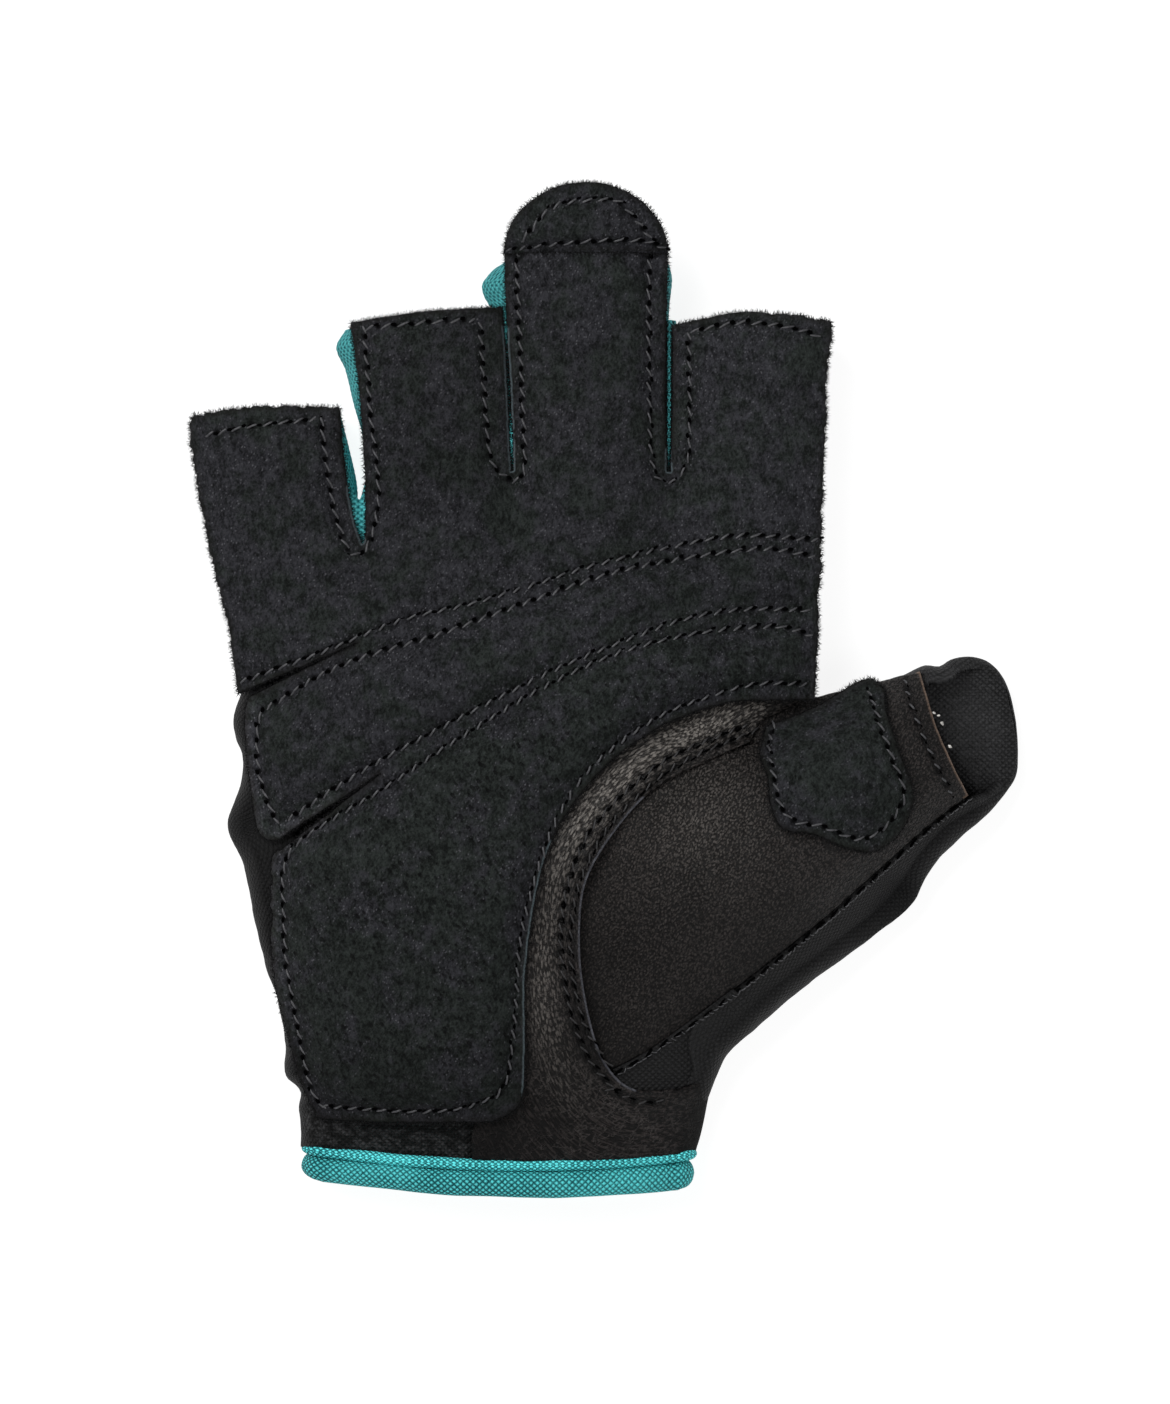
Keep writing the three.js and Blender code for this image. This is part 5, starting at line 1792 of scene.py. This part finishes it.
def pathMesh(chains):
    # one chain of edges for each row, with the way up at each point
    edges, start = [], 0
    for verts, ups in chains:
        edges += [(start + i, start + i + 1) for i in range(len(verts) - 1)]
        start += len(verts)
    mesh = bpy.data.meshes.new("path")
    mesh.from_pydata(np.vstack([verts for verts, ups in chains]) * mm, edges, [])
    layer = mesh.attributes.new("up", "FLOAT_VECTOR", "POINT")
    layer.data.foreach_set("vector", np.vstack([ups for verts, ups in chains]).astype(np.float32).ravel())
    return mesh


def laidChain(line, heightAt, tiny=0.3):
    # a row laid on a surface, with the surface's own normal
    x, y = line.T
    slopeX = (heightAt(x + tiny, y) - heightAt(x - tiny, y)) / (2 * tiny)
    slopeY = (heightAt(x, y + tiny) - heightAt(x, y - tiny)) / (2 * tiny)
    return np.column_stack([x, y, heightAt(x, y)]), unit(np.column_stack([-slopeX, -slopeY, np.ones(len(x))]))


def alongPath(name, kind, mesh, values, finish, slot):
    carrier = bpy.data.objects.new(name + "_path", mesh)
    scene.collection.objects.link(carrier)
    modifier = carrier.modifiers.new("along", "NODES")
    modifier.node_group = trees[kind]
    values = {**inMetres(values), "Material": finishes[finish]}
    for item in trees[kind].interface.items_tree:
        if item.item_type == "SOCKET" and item.in_out == "INPUT" and item.name in values:
            modifier[item.identifier] = values[item.name]
    bpy.context.view_layer.update()
    evaluated = carrier.evaluated_get(bpy.context.evaluated_depsgraph_get())
    made = bpy.data.objects.new(name, bpy.data.meshes.new_from_object(evaluated))
    scene.collection.objects.link(made)
    carrier.modifiers.clear()
    bpy.data.objects.remove(carrier)
    made.data.polygons.foreach_set("use_smooth", np.ones(len(made.data.polygons), bool))
    dress(made, finish, [], slot)


threadSize = {
    "Pitch": stitch["pitch"],
    "Length": 2.0,
    "Width": 0.18,
    "Height": 0.3,
    "Slant": 24,
    "Wobble": 18,
    "Seed": 5,
}
holeSize = {
    "Pitch": stitch["pitch"],
    "Length": 0.42,
    "Width": 0.24,
    "Height": 0.12,
    "Slant": 10,
    "Wobble": 26,
    "Seed": 9,
}
lengths = ("Pitch", "Length", "Width", "Height", "Shift")


def inMetres(values):
    # lengths from millimetres, and angles from degrees
    made = {key: float(value) * (mm if key in lengths else math.radians(1)) for key, value in values.items()}
    return {**made, "Seed": values["Seed"]}


def stitchRows(name, rows, topAt, slot, lift=0.03, sink=0.05, holes=(1.0, 1.0), finish="thread", **changes):
    # slanted threads over needle holes, where holes gives how long and wide those are against holeSize
    def grooved(x, y):
        return topAt(x, y) - rows.dip(x, y)

    thread = {**threadSize, **changes}
    mesh = pathMesh([laidChain(line, lambda x, y: grooved(x, y) + lift) for line in rows.lines])
    alongPath(name + "_thread", "thread", mesh, thread, finish, slot)
    # the needle holes are near-black discs: painted shade inside each hole
    hole = {**holeSize, "Pitch": thread["Pitch"], "Shift": thread["Pitch"] / 2}
    hole.update({"Length": holeSize["Length"] * holes[0], "Width": holeSize["Width"] * holes[1]})
    mesh = pathMesh([laidChain(line, lambda x, y: grooved(x, y) - sink) for line in rows.lines])
    alongPath(name + "_holes", "hole", mesh, hole, "hole", slot)


stitchRows("overlay", seams["suede"], suedeTop, "suede")
stitchRows("tab", seams["tab"], tabTop, "suede")
stitchRows(
    "facing", seams["leather"], leatherTop, "leather", holes=(1.426, 0.62), finish="dimThread", Width=0.15,
)
stitchRows("patch", seams["patch"], patchTop, "suede")
stitchRows("hem", seams["thumb"], thumbTop, "leather", holes=(0.6, 0.6), Length=1.3)

# The thumb's long seam shows as dark dashes at the leather's edge, with a little thread on the knit side.
thumbSeam = {
    "sink": 0.12,
    "rise": 0.25,
    "dashShift": (-0.35, 0.45),
    "dashRise": 0.35,
    "wispShift": (-0.1, 0.15),
    "wispRise": (0.5, 0.4),  # along all of it, and more towards the tip
}
dashSize = {**holeSize, "Pitch": 2.7, "Length": 0.95, "Width": 0.2, "Slant": 12}
wispSize = {
    "Pitch": 0.9,
    "Length": 0.8,
    "Width": 0.08,
    "Height": 0.12,
    "Slant": -20,
    "Wobble": 120,
    "Seed": threadSize["Seed"],
}


def seamTop(x, y):
    return form(x, y) + layers["thumb"]["high"] - thumbSeam["sink"] + thumbSeam["rise"] * smooth(x, 14, 30)


def dashTop(x, y):
    return seamTop(x, y) + thumbSeam["dashRise"] * smooth(x, 23, 17)


def wispTop(x, y):
    rise, more = thumbSeam["wispRise"]
    return seamTop(x, y) + rise + more * smooth(x, 10, 26)


seamLine = rowLine(seamPoints)
mesh = pathMesh([laidChain(seamLine + thumbSeam["dashShift"], dashTop)])
alongPath("thumb_seam_dashes", "hole", mesh, dashSize, "hole", "leather")
mesh = pathMesh([laidChain(seamLine + thumbSeam["wispShift"], wispTop)])
alongPath("thumb_seam_thread", "thread", mesh, wispSize, "thread", "leather")
print("stitches made")

# Torn fibres along the cut suede edges, in two rows at shares of the suede's thickness.
fibreSize = {"Pitch": 0.26, "Length": 0.8, "Width": 0.075, "Wobble": 120, "Seed": 3}
fibres = {"rows": (0.35, 0.8), "upward": 0.45}


def fibreRow(name, loop, lowAt, highAt):
    closed = np.vstack([loop, loop[:1]])
    ups = np.column_stack([outwardOf(loop), np.full(len(loop), fibres["upward"])])
    ups = np.vstack([ups, ups[:1]])
    low, high = lowAt(*closed.T), highAt(*closed.T)
    chains = [(np.column_stack([closed, low * (1 - share) + high * share]), ups) for share in fibres["rows"]]
    alongPath(name, "fibre", pathMesh(chains), fibreSize, "fuzz", "suede")


fibreRow("overlay_fibres", outlines["suede"], suedeUnder, suedeTop)
fibreRow("tab_fibres", outlines["tab"], tabUnder, tabTop)
fibreRow("patch_fibres", outlines["patch"], patchUnder, patchTop)

# A few pale thread ends on the knit beside the thumb's hem.
lintSize = {"Pitch": 1.0, "Length": 0.26, "Width": 0.16, "Height": 0.1, "Slant": 40, "Wobble": 160, "Seed": 2}
lintPlaces = [[(51.2, -3.5), (51.9, -3.9)], [(52.4, -5.0), (52.5, -5.2)], [(53.6, -8.6), (53.7, -8.8)]]
mesh = pathMesh([laidChain(rowLine(points), lambda x, y: thumbTop(x, y) + 0.1) for points in lintPlaces])
alongPath("hem_lint", "hole", mesh, lintSize, "lint", "leather")
print("fibres made")

# Floor, light and camera.
view = {
    "wide": 182.5, "tall": 219.0, "centreX": -3.04, "centreY": -1.79, "height": 12, "lens": 160, "sensor": 36,
}
camera = bpy.data.cameras.new("camera")
camera.lens = view["lens"]
camera.sensor_width = view["sensor"]
camera.clip_start = 0.05
eye = bpy.data.objects.new("camera", camera)
distance = view["tall"] * view["lens"] / view["sensor"]
eye.location = (view["centreX"] * mm, view["centreY"] * mm, (distance + view["height"]) * mm)
scene.collection.objects.link(eye)
scene.camera = eye

studio = {
    "reach": 3.0, "floorZ": -0.0003, "floor": (0.26, 0.26, 0.26, 1), "floorGlow": 0.88, "sky": 0.26,
}
corners = [(-1, -1), (1, -1), (1, 1), (-1, 1)]
floorMesh = bpy.data.meshes.new("floor")
floorMesh.from_pydata([(x * studio["reach"], y * studio["reach"], 0) for x, y in corners], [], [(0, 1, 2, 3)])
floor = bpy.data.objects.new("floor", floorMesh)
floor.location.z = studio["floorZ"]
scene.collection.objects.link(floor)
floorMesh.materials.append(Shader("pale floor").finish(
    studio["floor"], 0.9, None, Specular_IOR_Level=0.1, Emission_Color=(1, 1, 1, 1),
    Emission_Strength=studio["floorGlow"],
))

lamps = {
    "key": {"at": (-0.32, 0.28, 0.58), "size": 0.4, "power": 3.6},
    "fill": {"at": (0.5, -0.45, 0.9), "size": 0.7, "power": 3.0},
}
for name, lamp in lamps.items():
    light = bpy.data.lights.new(name, "AREA")
    light.size = lamp["size"]
    light.energy = lamp["power"]
    made = bpy.data.objects.new(name, light)
    made.location = lamp["at"]
    made.rotation_euler = (-Vector(lamp["at"])).to_track_quat("-Z", "Y").to_euler()
    scene.collection.objects.link(made)
world = bpy.data.worlds.new("studio")
world.use_nodes = True
sky = world.node_tree.nodes["Background"].inputs
sky["Color"].default_value = (1, 1, 1, 1)
sky["Strength"].default_value = studio["sky"]
scene.world = world
scene.view_settings.view_transform = "Standard"
